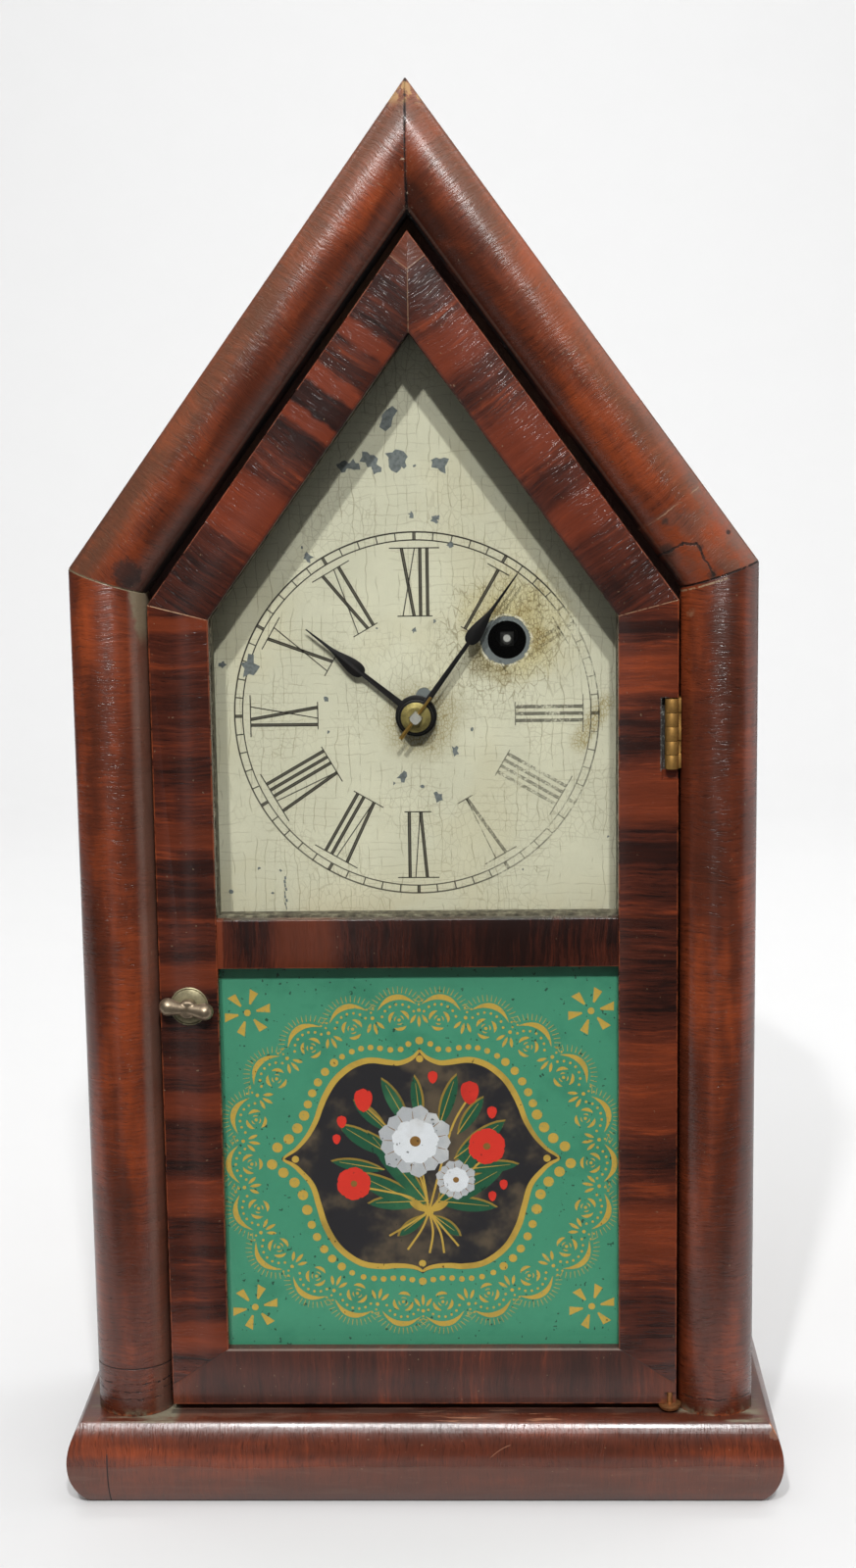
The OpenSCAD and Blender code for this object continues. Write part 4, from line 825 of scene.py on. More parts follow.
class CLOCK_OT_mouldings(bpy.types.Operator):
    """Finish the half-round columns and roof mouldings with their mitres, cracks, wear and painted
    reflections, glints and shade
    """

    bl_idname = "clock.mouldings"
    bl_label = "Half-round mouldings"

    def execute(self, context):
        wood = context.scene.clock_wood
        inner_x = HALF - ROUND_W
        inner_z = PEAK - ROUND_W / math.cos(ROOF) - math.tan(ROOF) * inner_x
        slope = (SHOULDER - inner_z) / (HALF - inner_x)
        cleft = tint(24, 10, 8)

        def mitre(s, half_width=0.3, seed=3.0):
            return joint_line(s, inner_x, inner_z, HALF, SHOULDER, half_width, 0.4, seed)

        def column_marks(side):
            def marks(s, along, across):
                rub = s.patches(0.42, 0.58, 0.5, 3, 0.7, 5.0)
                foot = s.fall(s.z, BASE_TOP + 0.2, BASE_TOP + 1.2) * rub
                dust = s.fall(s.z, BASE_TOP, BASE_TOP + 3.0) * s.patches(0.45, 0.65, 0.3, 3, 0.6, 7.0)
                reflection_patches = s.patches(0.3, 0.6, (0.1, 0.1, 0.06), 3, 0.6, 17.0)
                wave = s.rag(2.0, 0.35, 4, 0.7, 8.0)
                # The inner flank: painted reflection on the left column, painted shade on the right
                inner = s.fall(abs(s.x) + wave * 0.4, inner_x + 3.0, inner_x + 4.6)
                checks = (31.2, 33.4, 29.0) if side < 0 else (28.6,)
                found = [(foot * 0.6, wood.worn, 0.4), (dust * 0.5, tint(132, 134, 108), 0.5)]
                if side < 0:
                    edge = abs(s.x) - inner_x + s.rag(3.0, 0.35, 4, 0.7, 4.0) - (s.z - 246.0) * 0.12
                    found += [
                        # painted reflection of the bright right side on the left column's inner flank
                        (inner * (0.35 + reflection_patches * 0.25), tint(108, 80, 68), 0.25),
                        (s.fall(edge, 2.4, 3.4) * s.soft(s.z, 236.0, 243.0) * 0.8, tint(112, 102, 80), 0.4),
                        (mitre(s) * 0.75, tint(132, 124, 98), 0.4),
                        (s.near(s.z + wave * 0.1, 37.8, 0.12, 0.14) * 0.9, tint(28, 12, 10), 0.3, -3.0),
                    ]
                else:
                    foot_z = inner_z - 0.9
                    edge = joint_line(
                        s, inner_x, foot_z, inner_x + 11.0, foot_z + 11.0 * slope, 0.34, 0.5, 9.0)
                    spot = s.fall(s.far(72.6, 244.5) + s.rag(4.0, 0.35, 4, 0.7, 6.0), 0.2, 1.3)
                    found += [
                        # the second mark is painted shade on the right column's inner flank
                        (edge * 0.5, tint(160, 140, 108), 0.4), (inner * 0.12, wood.round_dark, 0.0),
                        (mitre(s, 0.25, 5.0) * 0.8, tint(26, 14, 10), 0.4),
                        (spot * 0.35, tint(150, 120, 92), 0.3),
                    ]
                return found + [(s.near(s.z + wave, z, 0.08, 0.12) * rub, cleft, 0.3, -4.0) for z in checks]
            return marks

        def roof_marks(side):
            def marks(s, along, across):
                flat = s.join_axes(along, across, s.y)
                clump = s.patches(0.42, 0.66, 0.09, 3, 0.6, 26.0 + side)
                # Streaks of painted glints across the grain, on the painted reflection of the upper flank and
                # along the crown
                glint_streaks = clump * s.patches(0.57, 0.68, (2.9, 0.34, 0.25), 4, 0.75, 4.0 + side, flat)
                upper = s.fall(across, 4.0, 10.5)
                # The lower flank, painted darker as shade
                under = s.soft(across, 13.0, 17.5)
                # The inner edge is painted near-black as the shade of the gap beside the door, with a painted
                # highlight just inside it
                edge = s.soft(across, ROUND_W - 1.0, ROUND_W - 0.7)
                lit = s.near(across, ROUND_W - 1.35, 0.14, 0.3)
                band = s.near(across, 8.6, 2.6, 1.6)
                seam = joint_line(s, 0.0, 300.0, 0.0, 400.0, 0.5, 0.4, 6.0)
                crumbs = s.fall(abs(s.x), 0.9, 2.0) * s.patches(0.62, 0.68, 1.1, 3, 0.7, 12.0)
                tip = s.soft(s.z, 373.0, 376.5) * s.patches(0.45, 0.55, 0.3, 3, 0.6, 14.0)
                found = [
                    # painted reflection of the room on the upper flank, streaked with painted glints
                    (upper * (0.2 + glint_streaks * 0.3), tint(146, 112, 88), 0.1),
                    # painted shade on the lower flank, greyish on the left and dark brown on the right
                    (under * 0.4, tint(92, 72, 66) if side < 0 else tint(52, 26, 18), 0.2),
                    # painted glints along the crown
                    (band * glint_streaks * 0.3, tint(190, 164, 136), 0.1, 0.6),
                    # painted shade at the inner edge and a painted highlight beside it
                    (edge, tint(4, 3, 3), 0.5), (lit * 0.4, tint(124, 108, 98), 0.1),
                    (seam * 0.9, tint(26, 16, 13), 0.4), (crumbs * 0.7, tint(186, 170, 148), 0.4),
                    (tip * 0.7, tint(176, 140, 92), 0.4),
                ]
                if side < 0:
                    blot = s.fall(s.far(-74.0, 256.5) + s.rag(6.0, 0.35, 4, 0.7, 3.0), 2.6, 4.6)
                    return found + [
                        # more painted shade on the lower flank, darker towards the shoulder
                        (s.fall(s.z, 262.0, 290.0) * under * 0.4, tint(60, 52, 46), 0.2),
                        (blot * 0.75, tint(30, 26, 24), 0.3), (mitre(s, 0.35) * 0.8, tint(128, 120, 94), 0.4),
                    ]
                lower = s.soft(along, LOWER_PIECE, LOWER_PIECE + 0.6)
                cloud = s.patches(0.42, 0.6, 0.14, 4, 0.65, 19.0)
                glow = s.patches(0.5, 0.66, 0.06, 2, 0.5, 31.0)
                hairline = s.near(along + s.rag(1.2, 0.35, 4, 0.7, 2.0), LOWER_PIECE + 1.0, 0.08, 0.12)
                found += [
                    (glow * (0.3 + lower * 0.3), tint(150, 66, 28), 0.1),
                    (lower * (1 - cloud) * 0.4, tint(146, 66, 32), 0.1),
                    (lower * cloud * 0.25, tint(112, 88, 76), 0.2),
                    (hairline * cloud * 0.6, tint(160, 130, 104), 0.2),
                    (s.fall(s.far(82.1, 265.3), 0.4, 0.8) * 0.85, tint(20, 14, 12), 0.4, -3.0),
                    (mitre(s, 0.5, 5.0) * 0.95, tint(16, 10, 8), 0.5, -3.0),
                ]
                for start, end in zip(CRACK, CRACK[1:]):
                    found.append((crack_line(s, *start, *end, 0.2) * 0.85, tint(28, 20, 16), 0.5, -3.0))
                for x, z, size in DINTS:
                    dint = s.fall(s.far(x, z) + s.rag(3.4, 0.35, 4, 0.7, x), size * 0.4, size * 1.3)
                    found.append((dint * 0.65, tint(36, 30, 24), 0.4, -1.0))
                return found
            return marks

        if node_box("left_roof_moulding")[0].y > DOOR_FRONT:
            raise RuntimeError("the mouldings' crown lies behind the door")
        for side, word in ((-1, "left"), (1, "right")):
            column = veneer(word + "_column_veneer", "upright", 31.0 + 7 * side, 0.015 - 0.005 * side,
                            column_marks(side), gloss=0.2, ripple=0.6)
            roof = veneer(word + "_roof_veneer", "slope", 47.0 + 7 * side, 0.035, roof_marks(side),
                          gloss=0.24, ripple=3.4)
            dress(word + "_column_moulding", word + "_column", "case", column, 0.3, None, 40)
            dress(word + "_roof_moulding", word + "_roof_round", "case", roof, 0.3, None, 40)
        return {"FINISHED"}


# Warm and dark bands across the door's left and right stiles and rafters: middle along the member, half
# width and strength
STILE_WARM = {
    -1: ((243.0, 2.0, 0.5), (186.0, 3.0, 0.3), (148.0, 3.5, 0.35), (112.0, 4.0, 0.3), (86.0, 5.0, 0.3),
         (46.0, 4.0, 0.4)),
    1: ((229.0, 6.0, 0.35), (196.0, 7.0, 0.4), (117.0, 12.0, 0.35), (75.0, 8.0, 0.4)),
}
STILE_DARK = {
    -1: ((222.0, 2.2, 0.5), (178.0, 2.2, 0.6), (171.0, 1.2, 0.6), (166.0, 2.4, 0.65), (128.0, 2.0, 0.5),
         (70.0, 2.2, 0.5)),
    1: ((240.9, 1.8, 0.75), (215.5, 0.7, 0.8), (209.5, 0.7, 0.7), (180.9, 3.4, 0.75), (162.4, 2.1, 0.6),
        (98.0, 1.4, 0.5), (61.0, 0.8, 0.5)),
}
RAFTER_WARM = {
    -1: ((-195.0, 9.0, 0.45), (-222.5, 2.5, 0.5), (-234.0, 2.5, 0.5), (-248.0, 3.0, 0.45)),
    1: ((-192.0, 6.0, 0.35), (-217.0, 8.0, 0.4), (-246.0, 7.0, 0.4)),
}
RAFTER_DARK = {
    -1: ((-216.0, 2.0, 0.6), (-228.0, 3.5, 0.7), (-240.0, 3.0, 0.65), (-258.0, 4.5, 0.6)),
    1: ((-205.0, 1.2, 0.5), (-232.0, 2.2, 0.55), (-262.0, 3.5, 0.5)),
}
# Height of the lowest point of the patch in the peak of the door
PATCH_FOOT = 333.2


class CLOCK_OT_door(bpy.types.Operator):
    """Finish the door's members with their streaks, glue lines, rubbed arrises and painted highlight and
    shade
    """

    bl_idname = "clock.door"
    bl_label = "Door frame"

    def execute(self, context):
        wood = context.scene.clock_wood
        glue = tint(212, 172, 132)

        def arris(s, value, place, width=0.4):
            ahead = s.fall(s.y, DOOR_FRONT + 0.5, DOOR_FRONT + 1.0)
            rubbed = s.patches(0.4, 0.56, 0.2, 4, 0.7, 22.0)
            return s.fall(abs(value - place), width * 0.4, width) * ahead * rubbed

        def mitres(s, side):
            upper = joint_line(s, LIGHT_HALF, 243.9, DOOR_HALF, 248.0, 0.14, 0.42, 2.0)
            lower = joint_line(s, LIGHT_HALF, TABLET_FOOT, DOOR_HALF, 32.0, 0.22, 0.4, 4.0)
            return [(upper * (0.65 if side < 0 else 0.35), glue, 0.3), (lower * 0.75, wood.dark, 0.3)]

        def stile_marks(side):
            def marks(s, along, across):
                wave = s.rag(1.6, (0.1, 0.3, 0.3), 2, 0.5, 3.0)
                found = mitres(s, side) + [
                    (arris(s, abs(s.x), LIGHT_HALF) * 0.35, wood.worn, 0.2),
                    (arris(s, abs(s.x), DOOR_HALF, 0.5) * 0.45, wood.worn, 0.2),
                ]
                for middle, half, depth in STILE_WARM[side]:
                    mask = s.near(s.z + wave * 2.0, middle, half * 0.6, half * 0.8) * depth
                    found.append((mask, tint(132, 58, 30), 0.0))
                for middle, half, depth in STILE_DARK[side]:
                    found.append((s.near(s.z + wave, middle, half * 0.7, 1.0) * depth, wood.dark, 0.0))
                if side > 0:
                    low, high = node_box("hinge_door_leaf")
                    # The hinge's mortise is painted dark as shade, with pale specks in it
                    shaded_recess = s.near(s.x, 65.8, 1.0, 0.25) * s.near(
                        s.z, (low.z + high.z) / 2, (high.z - low.z) / 2 + 0.2, 0.5)
                    bits = s.patches(0.56, 0.62, 1.4, 3, 0.7, 23.0)
                    found += [(shaded_recess * 0.85, tint(44, 44, 40), 0.4, -2.0),
                              (shaded_recess * bits * 0.7, tint(150, 152, 142), 0.3)]
                return found
            return marks

        def rafter_marks(side):
            def marks(s, along, across):
                # A patch with its point downwards is let into the two rafters at the peak
                rise = s.z - abs(s.x) * 0.78
                patch = s.fall(abs(rise - PATCH_FOOT), 0.1, 0.24) * s.fall(abs(s.x), 4.3, 4.7)
                inside = s.soft(rise, PATCH_FOOT, PATCH_FOOT + 0.3) * s.fall(abs(s.x), 4.3, 4.6)
                apex = joint_line(s, 0.0, 300.0, 0.0, 400.0, 0.16, 0.4, 6.0) * s.fall(s.z, 332.5, 333.4)
                wave = s.rag(3.0, 0.2, 2, 0.5, 3.0)
                bands = ((RAFTER_WARM[side], tint(132, 56, 30)), (RAFTER_DARK[side], wood.dark))
                found = [
                    (s.near(along + wave, middle, half * 0.6, half * 0.6) * depth, shade, 0.0)
                    for rows, shade in bands for middle, half, depth in rows
                ]
                return found + mitres(s, side) + [
                    (inside * 0.15, wood.worn, 0.1), (patch * 0.2, glue, 0.3), (apex * 0.18, glue, 0.3),
                    (arris(s, across, DOOR_INSET) * 0.4, tint(180, 104, 74), 0.2),
                    # painted shade along the inner edge by the glass
                    (s.soft(across, LIGHT_INSET - 0.9, LIGHT_INSET - 0.3) * 0.5, wood.dark, 0.1),
                ]
            return marks

        def rail_marks(s, along, across):
            return [
                (s.fall(abs(s.x - 6.0), 8.0, 38.0) * 0.5, wood.dark, 0.0),
                (s.near(s.x, -30.0, 5.0, 6.0) * 0.4, tint(120, 56, 30), 0.0),
                (s.fall(s.x, -LIGHT_HALF + 1.3, -LIGHT_HALF + 2.0) * 0.35, tint(150, 70, 38), 0.1),
                (arris(s, s.z, TABLET_TOP, 0.35) * 0.4, wood.worn, 0.2),
            ]

        def foot_marks(s, along, across):
            corner = s.soft(abs(s.x), 60.0, 67.0)
            ahead = s.fall(s.y, DOOR_FRONT + 0.3, DOOR_FRONT + 0.8)
            # A pale line just below the rail's top edge: painted highlight
            dust_and_highlight = s.near(s.z, TABLET_FOOT - 0.25, 0.12, 0.25) * ahead
            return mitres(s, 0) + [
                ((1 - corner) * 0.35, tint(70, 46, 40), 0.2), (corner * 0.2, tint(140, 70, 40), 0.1),
                # painted highlight along the rail's top edge
                (dust_and_highlight * 0.5, tint(150, 134, 122), 0.4),
                (arris(s, s.z, DOOR_FOOT, 0.6) * 0.5, wood.worn, 0.3),
            ]

        def on_edge(m, half, inset, slack, levels):
            close = [abs(abs(m.x) - half) < 0.05, abs(roof_lines(m.x, m.z)[1] - inset) < slack]
            return any(close + [abs(m.z - z) < 0.05 for z in levels]) and m.y < DOOR_FRONT + 0.05

        for node, lie, seed, tone, marks, figure in (
            ("door_left_stile", "upright", 61.0, -0.035, stile_marks(-1), 0.65),
            ("door_right_stile", "upright", 66.0, -0.005, stile_marks(1), 0.85),
            ("door_left_rafter", "slope", 71.0, -0.055, rafter_marks(-1), 0.85),
            ("door_right_rafter", "slope", 78.0, -0.025, rafter_marks(1), 0.55),
            ("door_mid_rail", "level", 83.0, -0.075, rail_marks, 0.7),
            ("door_bottom_rail", "level", 89.0, -0.035, foot_marks, 0.6),
        ):
            piece = copy_of(node, node + "_veneered")
            ease(piece, wood.arris, lambda m: on_edge(m, DOOR_HALF, DOOR_INSET, 0.05, [DOOR_FOOT]))
            ease(piece, wood.arris * 0.55, lambda m: on_edge(
                m, LIGHT_HALF, LIGHT_INSET, 0.3, [TABLET_TOP, LIGHT_FOOT, TABLET_FOOT]))
            smooth(piece)
            hold(piece, "door", veneer(node + "_veneer", lie, seed, tone, marks, figure), [node])
        return {"FINISHED"}


# Dial

NUMERALS = ("XII", "I", "II", "III", "IIII", "V", "VI", "VII", "VIII", "IX", "X", "XI")
# How much ink is left on each hour, from twelve round to eleven
INK_LEFT = (0.95, 0.75, 0.3, 0.42, 0.34, 0.38, 0.88, 1.0, 1.0, 0.95, 0.9, 0.9)
# Flakes lost from the paint: right of and above the hand arbor, and the flake's half size
FLAKES = (
    (-6.6, 79.8, 1.6), (-18.8, 67.1, 1.1), (-15.6, 67.1, 0.9), (-11.8, 69.0, 1.1), (-10.2, 66.6, 0.9),
    (-4.4, 69.4, 1.5), (-5.4, 67.6, 1.1), (-3.0, 68.0, 1.0), (0.5, 67.0, 0.4), (7.6, 67.3, 1.2),
    (6.3, 67.9, 0.7), (-0.5, 54.0, 0.7), (5.6, 52.6, 0.85), (6.3, 53.0, 0.6), (-28.6, 42.9, 1.1),
    (-44.9, 13.6, 1.9), (-30.1, 45.5, 0.3), (-52.3, 14.2, 0.8), (-24.6, 4.3, 0.55), (10.3, -10.0, 0.85),
    (-4.2, -16.9, 1.0), (-6.3, -18.8, 0.4), (1.4, -19.6, 0.5), (5.4, -22.7, 1.1), (14.9, -4.1, 0.4),
    (-10.4, 23.6, 0.3), (-0.4, 23.0, 0.6), (5.2, 25.3, 0.35), (9.7, 46.1, 0.7), (-51.7, -48.7, 0.45),
    (-43.9, -42.2, 0.4), (-38.0, -42.8, 0.3), (-40.3, -49.1, 0.35), (-24.0, -4.5, 0.4),
    (28.5, -43.0, 0.3), (51.8, -34.0, 0.3),
)
# Brown stains round the winding hole: right of and above it, their full and faded reach, strength and colour
STAINS = (
    (-6.8, -5.6, 1.6, 6.4, 0.9, tint(94, 78, 30)), (-1.0, -9.0, 0.8, 4.6, 0.7, tint(116, 98, 42)),
    (8.6, 0.6, 1.0, 5.0, 0.75, tint(136, 112, 50)), (4.6, 7.6, 0.8, 4.2, 0.55, tint(150, 126, 66)),
    (-3.6, 8.0, 0.6, 3.8, 0.6, tint(136, 112, 52)), (0.6, 14.0, 0.4, 3.0, 0.4, tint(150, 132, 72)),
)


def crack_lines(s, run, cross, spacing, seed):
    """Fine cracks that wander along run, with cross as the way over them, in millimetres."""
    at = s.join_axes(cross, run, 0.0)
    bend = s.noise((0.07, 0.05, 0.0), 3, 0.6, seed, at) * 2.2
    cell = s.node("ShaderNodeMath", {"operation": "FRACT"}, {0: cross / spacing + bend})
    line = s.fall(abs(cell - 0.5) * spacing, 0.05, 0.17)
    return line * s.patches(0.44, 0.56, (0.16, 0.1, 0.0), 3, 0.7, seed + 4.0, at)


def dial_ground(s):
    """Colour, roughness, relief and bare places of the aged dial paint, used under the ink as well."""
    dial = bpy.context.scene.clock_dial
    up = s.z - DIAL_Z
    upright = crack_lines(s, s.z, s.x, 2.9, 2.0)
    level = crack_lines(s, s.x, s.z, 2.4, 9.0)
    web = s.cracks((0.5, 0.5, 0.34), 7.0, (0.01, 0.05))
    patchy = s.patches(0.42, 0.62, 0.05, 3, 0.6, 5.0)
    mottle = s.noise(0.045, 4, 0.6, 9.0)
    warm = s.patches(0.48, 0.66, 0.03, 3, 0.6, 15.0)
    low = s.fall(up, -60.0, -40.0) * s.soft(mottle, 0.3, 0.6)
    rag = s.rag(10.0, 0.16, 4, 0.65, 3.0)
    fine = s.rag(2.2, 0.9, 3, 0.7, 21.0)
    hole = s.far(WINDING_X, WINDING_Z)
    lean = (s.x - WINDING_X) * 0.1 + (s.z - WINDING_Z) * 0.16
    oily = s.fall(hole + rag * 1.1 - lean * 1.5, 6.0, 18.0)
    crackle = s.cracks((1.25, 1.25, 0.8), 4.0, (0.02, 0.12))
    long_cracks = s.cracks((0.52, 0.5, 0.26), 8.0, (0.01, 0.06))
    broken = s.patches(0.36, 0.56, 0.4, 4, 0.7, 13.0)
    dirt = s.fall(s.far(1.5, DIAL_Z - 1.5) + rag * 0.8, 5.0, 14.0)
    # A rubbed mark slants across the track at the right
    off, rise = s.x - 47.5, up + 2.7
    rubbed = s.fall(abs(off * 0.84 - rise * 0.54 + rag * 0.35), 0.8, 3.4) * s.fall(
        abs(off * 0.54 + rise * 0.84) + rag * 0.3, 6.0, 10.5)
    layers = [
        (warm * 0.22, tint(198, 186, 146)), (low * 0.4, tint(176, 154, 110)),
        (upright * 0.42, tint(128, 116, 86)), (level * 0.28, tint(138, 126, 96)),
        (web * patchy * 0.3, tint(134, 122, 92)), (oily * 0.6, tint(200, 184, 118)),
        (s.fall(hole + rag, 10.0, 26.0) * long_cracks * broken * 0.7, tint(104, 88, 48)),
        (oily * crackle * broken * 0.8, dial.stain),
    ]
    for x, z, near, reach, depth, stain in STAINS:
        heel = s.fall(s.far(WINDING_X + x, WINDING_Z + z) + rag * 0.5 + fine, near, reach)
        layers.append((heel * (0.45 + crackle * 0.55) * depth, stain))
    # Bare sheet shows round the winding hole and above the hands, with a pale broken rim round the hole
    off_hole = s.far(WINDING_X - 0.5, WINDING_Z - 0.1) + rag * 0.18 + fine * 0.5
    bare = s.fall(off_hole, 6.5, 6.7)
    bare_hub = s.fall(s.far(1.9, DIAL_Z + 5.4) + rag * 0.3, 1.9, 2.2)
    gone = bare + bare_hub - bare * bare_hub
    rim = s.near(off_hole, 6.95, 0.15, 0.3) * s.soft(fine, -0.2, 0.2)
    layers += [
        (dirt * (0.35 + crackle * 0.5), tint(136, 118, 62)),
        (rubbed * (0.25 + crackle * 0.6), tint(148, 128, 64)),
        (rim * 0.9, tint(228, 222, 200)), (gone, dial.zinc),
    ]
    base = s.blend(s.soft(mottle, 0.35, 0.7), dim(dial.paint, 0.9), dial.paint)
    for mask, shade in layers:
        base = s.blend(mask, base, shade)
    roughness = 0.34 + patchy * 0.12 + oily * 0.2
    height = mottle * 1.4 - upright * 0.8 - web * 0.4 - oily * crackle * 1.2 - gone * 2.0
    return base, roughness, height, gone


def ink_material(name, strength):
    """Worn ink over the dial paint. Attribute ink says how much is left."""
    s = Shader(name)
    base, roughness, height, gone = dial_ground(s)
    left = s.node("ShaderNodeAttribute", {"attribute_name": "ink"}, {}, "Fac")
    across = s.node("ShaderNodeSeparateXYZ", {}, {0: s.node("ShaderNodeTexCoord", {}, {}, "UV")}, "X")
    hollow = s.soft(abs(across - 0.5), 0.1, 0.34)
    wear = s.noise(1.7, 4, 0.8, 6.0) * 0.65 + s.noise(0.22, 2, 0.6, 8.0) * 0.35
    kept = s.soft(wear + left * 0.6, 0.62, 0.76)
    amount = kept * (0.86 + hollow * 0.14) * s.soft(left, 0.0, 0.55) * strength * (1 - gone)
    return s.surface(s.blend(amount, base, bpy.context.scene.clock_dial.ink), roughness, height)


def clear_of_hole(start, end, clearance=5.9):
    """The parts of a line on the dial that don't cross the winding hole."""
    start, end = Vector(start), Vector(end)
    way = (end - start).normalized()
    to_hole = Vector((WINDING_X, WINDING_Z)) - start
    nearest = to_hole.dot(way)
    room = clearance ** 2 - (to_hole.length_squared - nearest ** 2)
    if room <= 0:
        return [(start, end)]
    half = math.sqrt(room)
    parts = []
    if nearest - half > 0.2:
        parts.append((start, start + way * (nearest - half)))
    if nearest + half < (end - start).length - 0.2:
        parts.append((start + way * max(0.0, nearest + half), end))
    return parts


def ink_at(x, z):
    """How much ink is left at a place on the dial."""
    angle = math.degrees(math.atan2(x, z)) % 360 / 30
    hour = int(angle) % 12
    share = angle - int(angle)
    near, after = INK_LEFT[hour], INK_LEFT[(hour + 1) % 12]
    return near + (after - near) * (share if share > 0.5 else share * 0.6)


def numeral_strokes(word, thick, thin):
    """A numeral's strokes, each with its top's and foot's place across and its width, and the whole width."""
    strokes, u = [], 0.0
    for i, letter in enumerate(word):
        if i:
            u += 1.9 if letter == "I" and word[i - 1] == "I" else 1.55
        if letter == "I":
            strokes.append((u, u, thick))
        elif letter == "V":
            strokes += [(u, u + 1.6, thick), (u + 3.2, u + 1.75, thin)]
            u += 3.2
        else:
            strokes += [(u, u + 3.2, thick), (u + 3.5, u + 0.2, thin)]
            u += 3.4
    return strokes, u


class CLOCK_OT_dial(bpy.types.Operator):
    """Paint the dial, its numerals and track, and flake the paint"""

    bl_idname = "clock.dial"
    bl_label = "Dial"

    def execute(self, context):
        dial = context.scene.clock_dial
        s = Shader("dial_paint")
        finish_nodes("dial_plate", s.surface(*dial_ground(s)[:3], 0.05))
        old = context.scene.clock_metal.old_brass
        finish_nodes("dial_nails", metal("dial_nail_brass", old, 5.0, 0.35, 0.5))
        face = DIAL_FRONT - 0.015
        top, foot = dial.numeral_out / MM, dial.numeral_in / MM
        thick, thin = dial.thick / MM, dial.thin / MM
        bars = []
        for hour, word in enumerate(NUMERALS):
            strokes, wide = numeral_strokes(word, thick, thin)
            cos, sin = math.cos(math.radians(30 * hour)), math.sin(math.radians(30 * hour))

            def place(side, reach):
                return side * cos + reach * sin, DIAL_Z - side * sin + reach * cos

            for outer, inner, width in strokes:
                for start, end in clear_of_hole(place(inner - wide / 2, foot), place(outer - wide / 2, top)):
                    bars.append(stroke(start, end, width, face))
            for reach, past in ((top, wide / 2 + 3.3), (foot, wide / 2 + 1.3)):
                bars.append(stroke(place(-past, reach), place(past, reach), thin, face))
        radius = dial.track / MM
        lines = [ring(0, DIAL_Z, radius, 0.42, face, 240), ring(0, DIAL_Z, radius - 2.15, 0.34, face, 240)]
        for minute in range(60):
            start = round_about(0, DIAL_Z, radius - 2.1, 6 * minute)
            end = round_about(0, DIAL_Z, radius, 6 * minute)
            lines.append(stroke(start, end, 0.9 if minute % 5 == 0 else 0.34, face))
        for shapes, name, strength in ((bars, "dial_numerals", 1.0), (lines, "dial_track", 0.95)):
            piece = thicken(join(shapes, name), 0.012 * MM)
            left = piece.data.attributes.new("ink", "FLOAT", "POINT")
            for i, point in enumerate(piece.data.vertices):
                left.data[i].value = ink_at(point.co.x / MM, point.co.z / MM - DIAL_Z)
            hold(piece, "case", ink_material(name + "_ink", strength))

        # Each flake lies a hair in front of the one before, so that none shade each other where they overlap
        chance = random.Random(4)
        flakes = []
        for x, z, size in FLAKES:
            size = size * (1.6 if z > 60 and size > 0.6 else 1.1)
            count = 6 if size < 0.6 else 11
            squash = chance.uniform(0.9, 1.3)
            outline = []
            for i in range(count):
                angle = 2 * math.pi * i / count
                reach = size * chance.choice((0.6, 0.75, 1.0, 1.3, 1.45))
                outline.append((x + reach * math.cos(angle), DIAL_Z + z + reach * math.sin(angle) * squash))
            flakes.append(flat_shape(outline, DIAL_FRONT - 0.03 - 0.0006 * len(flakes)))
        for i in range(9):
            x, z = -36.8 + chance.uniform(-0.3, 0.3), DIAL_Z - 44.5 - i * 1.05
            width = chance.uniform(0.2, 0.6)
            flakes.append(stroke((x, z), (x + 0.1, z - 0.9), width, DIAL_FRONT - 0.03 - 0.0006 * len(flakes)))
        s = Shader("bare_sheet")
        cloud = s.noise(0.9, 3, 0.6)
        base = s.blend(s.soft(cloud, 0.4, 0.65), dim(dial.zinc, 1.15), dim(dial.zinc, 0.75))
        bare = thicken(join(flakes, "dial_flakes"), 0.004 * MM)
        hold(bare, "case", s.surface(base, 0.5, cloud, 0.02, metallic=0.1))
        return {"FINISHED"}


# Glass and the painted pane


def clear_glass(name):
    """Glass that shows what is behind it and mirrors the room."""
    s = Shader(name)
    edge_on = s.node("ShaderNodeLayerWeight", {}, {"Blend": 0.5}, "Facing")
    mirrored = (edge_on ** 5.0 * 0.96 + 0.035) * 0.8
    clear = s.node("ShaderNodeBsdfTransparent", {}, {"Color": (0.985, 0.99, 0.98)})
    mirror = s.node("ShaderNodeBsdfGlossy", {}, {"Color": (1.0, 1.0, 1.0), "Roughness": 0.03})
    return s.finish(s.node("ShaderNodeMixShader", {}, {0: mirrored, 1: clear, 2: mirror}))


def pane_paint(name, shade, seed, patch, patchy, worn=0.0):
    """Old paint behind glass, with patches of another colour. worn lets the ground show through."""
    s = Shader(name)
    cloud = s.noise(0.06, 4, 0.6, seed)
    brush = s.rag(0.12, (0.5, 0.5, 0.9), 3, 0.6, seed * 3)
    base = s.shade(shade, 0.9 + cloud * 0.2 + brush)
    base = s.blend(s.soft(cloud, 0.5, 0.68) * patchy, base, patch)
    if worn:
        rub = s.patches(0.62 - worn * 0.1, 0.7 - worn * 0.1, 1.3, 4, 0.7, seed * 5)
        base = s.blend(rub * 0.6, base, bpy.context.scene.clock_pane.ground)
    base = s.blend(s.patches(0.72, 0.74, 0.8, 1, 0.5, seed + 3) * 0.75, base, tint(18, 26, 22))
    return s.surface(base, 0.45, cloud, 0.01)


# Middles of the lace's crescents on the right half, from the pane's middle, and how far each is turned
SCALLOPS = (
    (6.0, 42.6, 10), (19.2, 40.0, 19), (31.2, 34.4, 33), (41.6, 25.2, 48), (48.2, 12.4, 71),
    (49.9, -1.4, 91), (48.2, -15.2, 109), (42.2, -27.6, 132), (31.2, -36.6, 148), (19.2, -42.0, 162),
    (6.0, -44.6, 171),
)
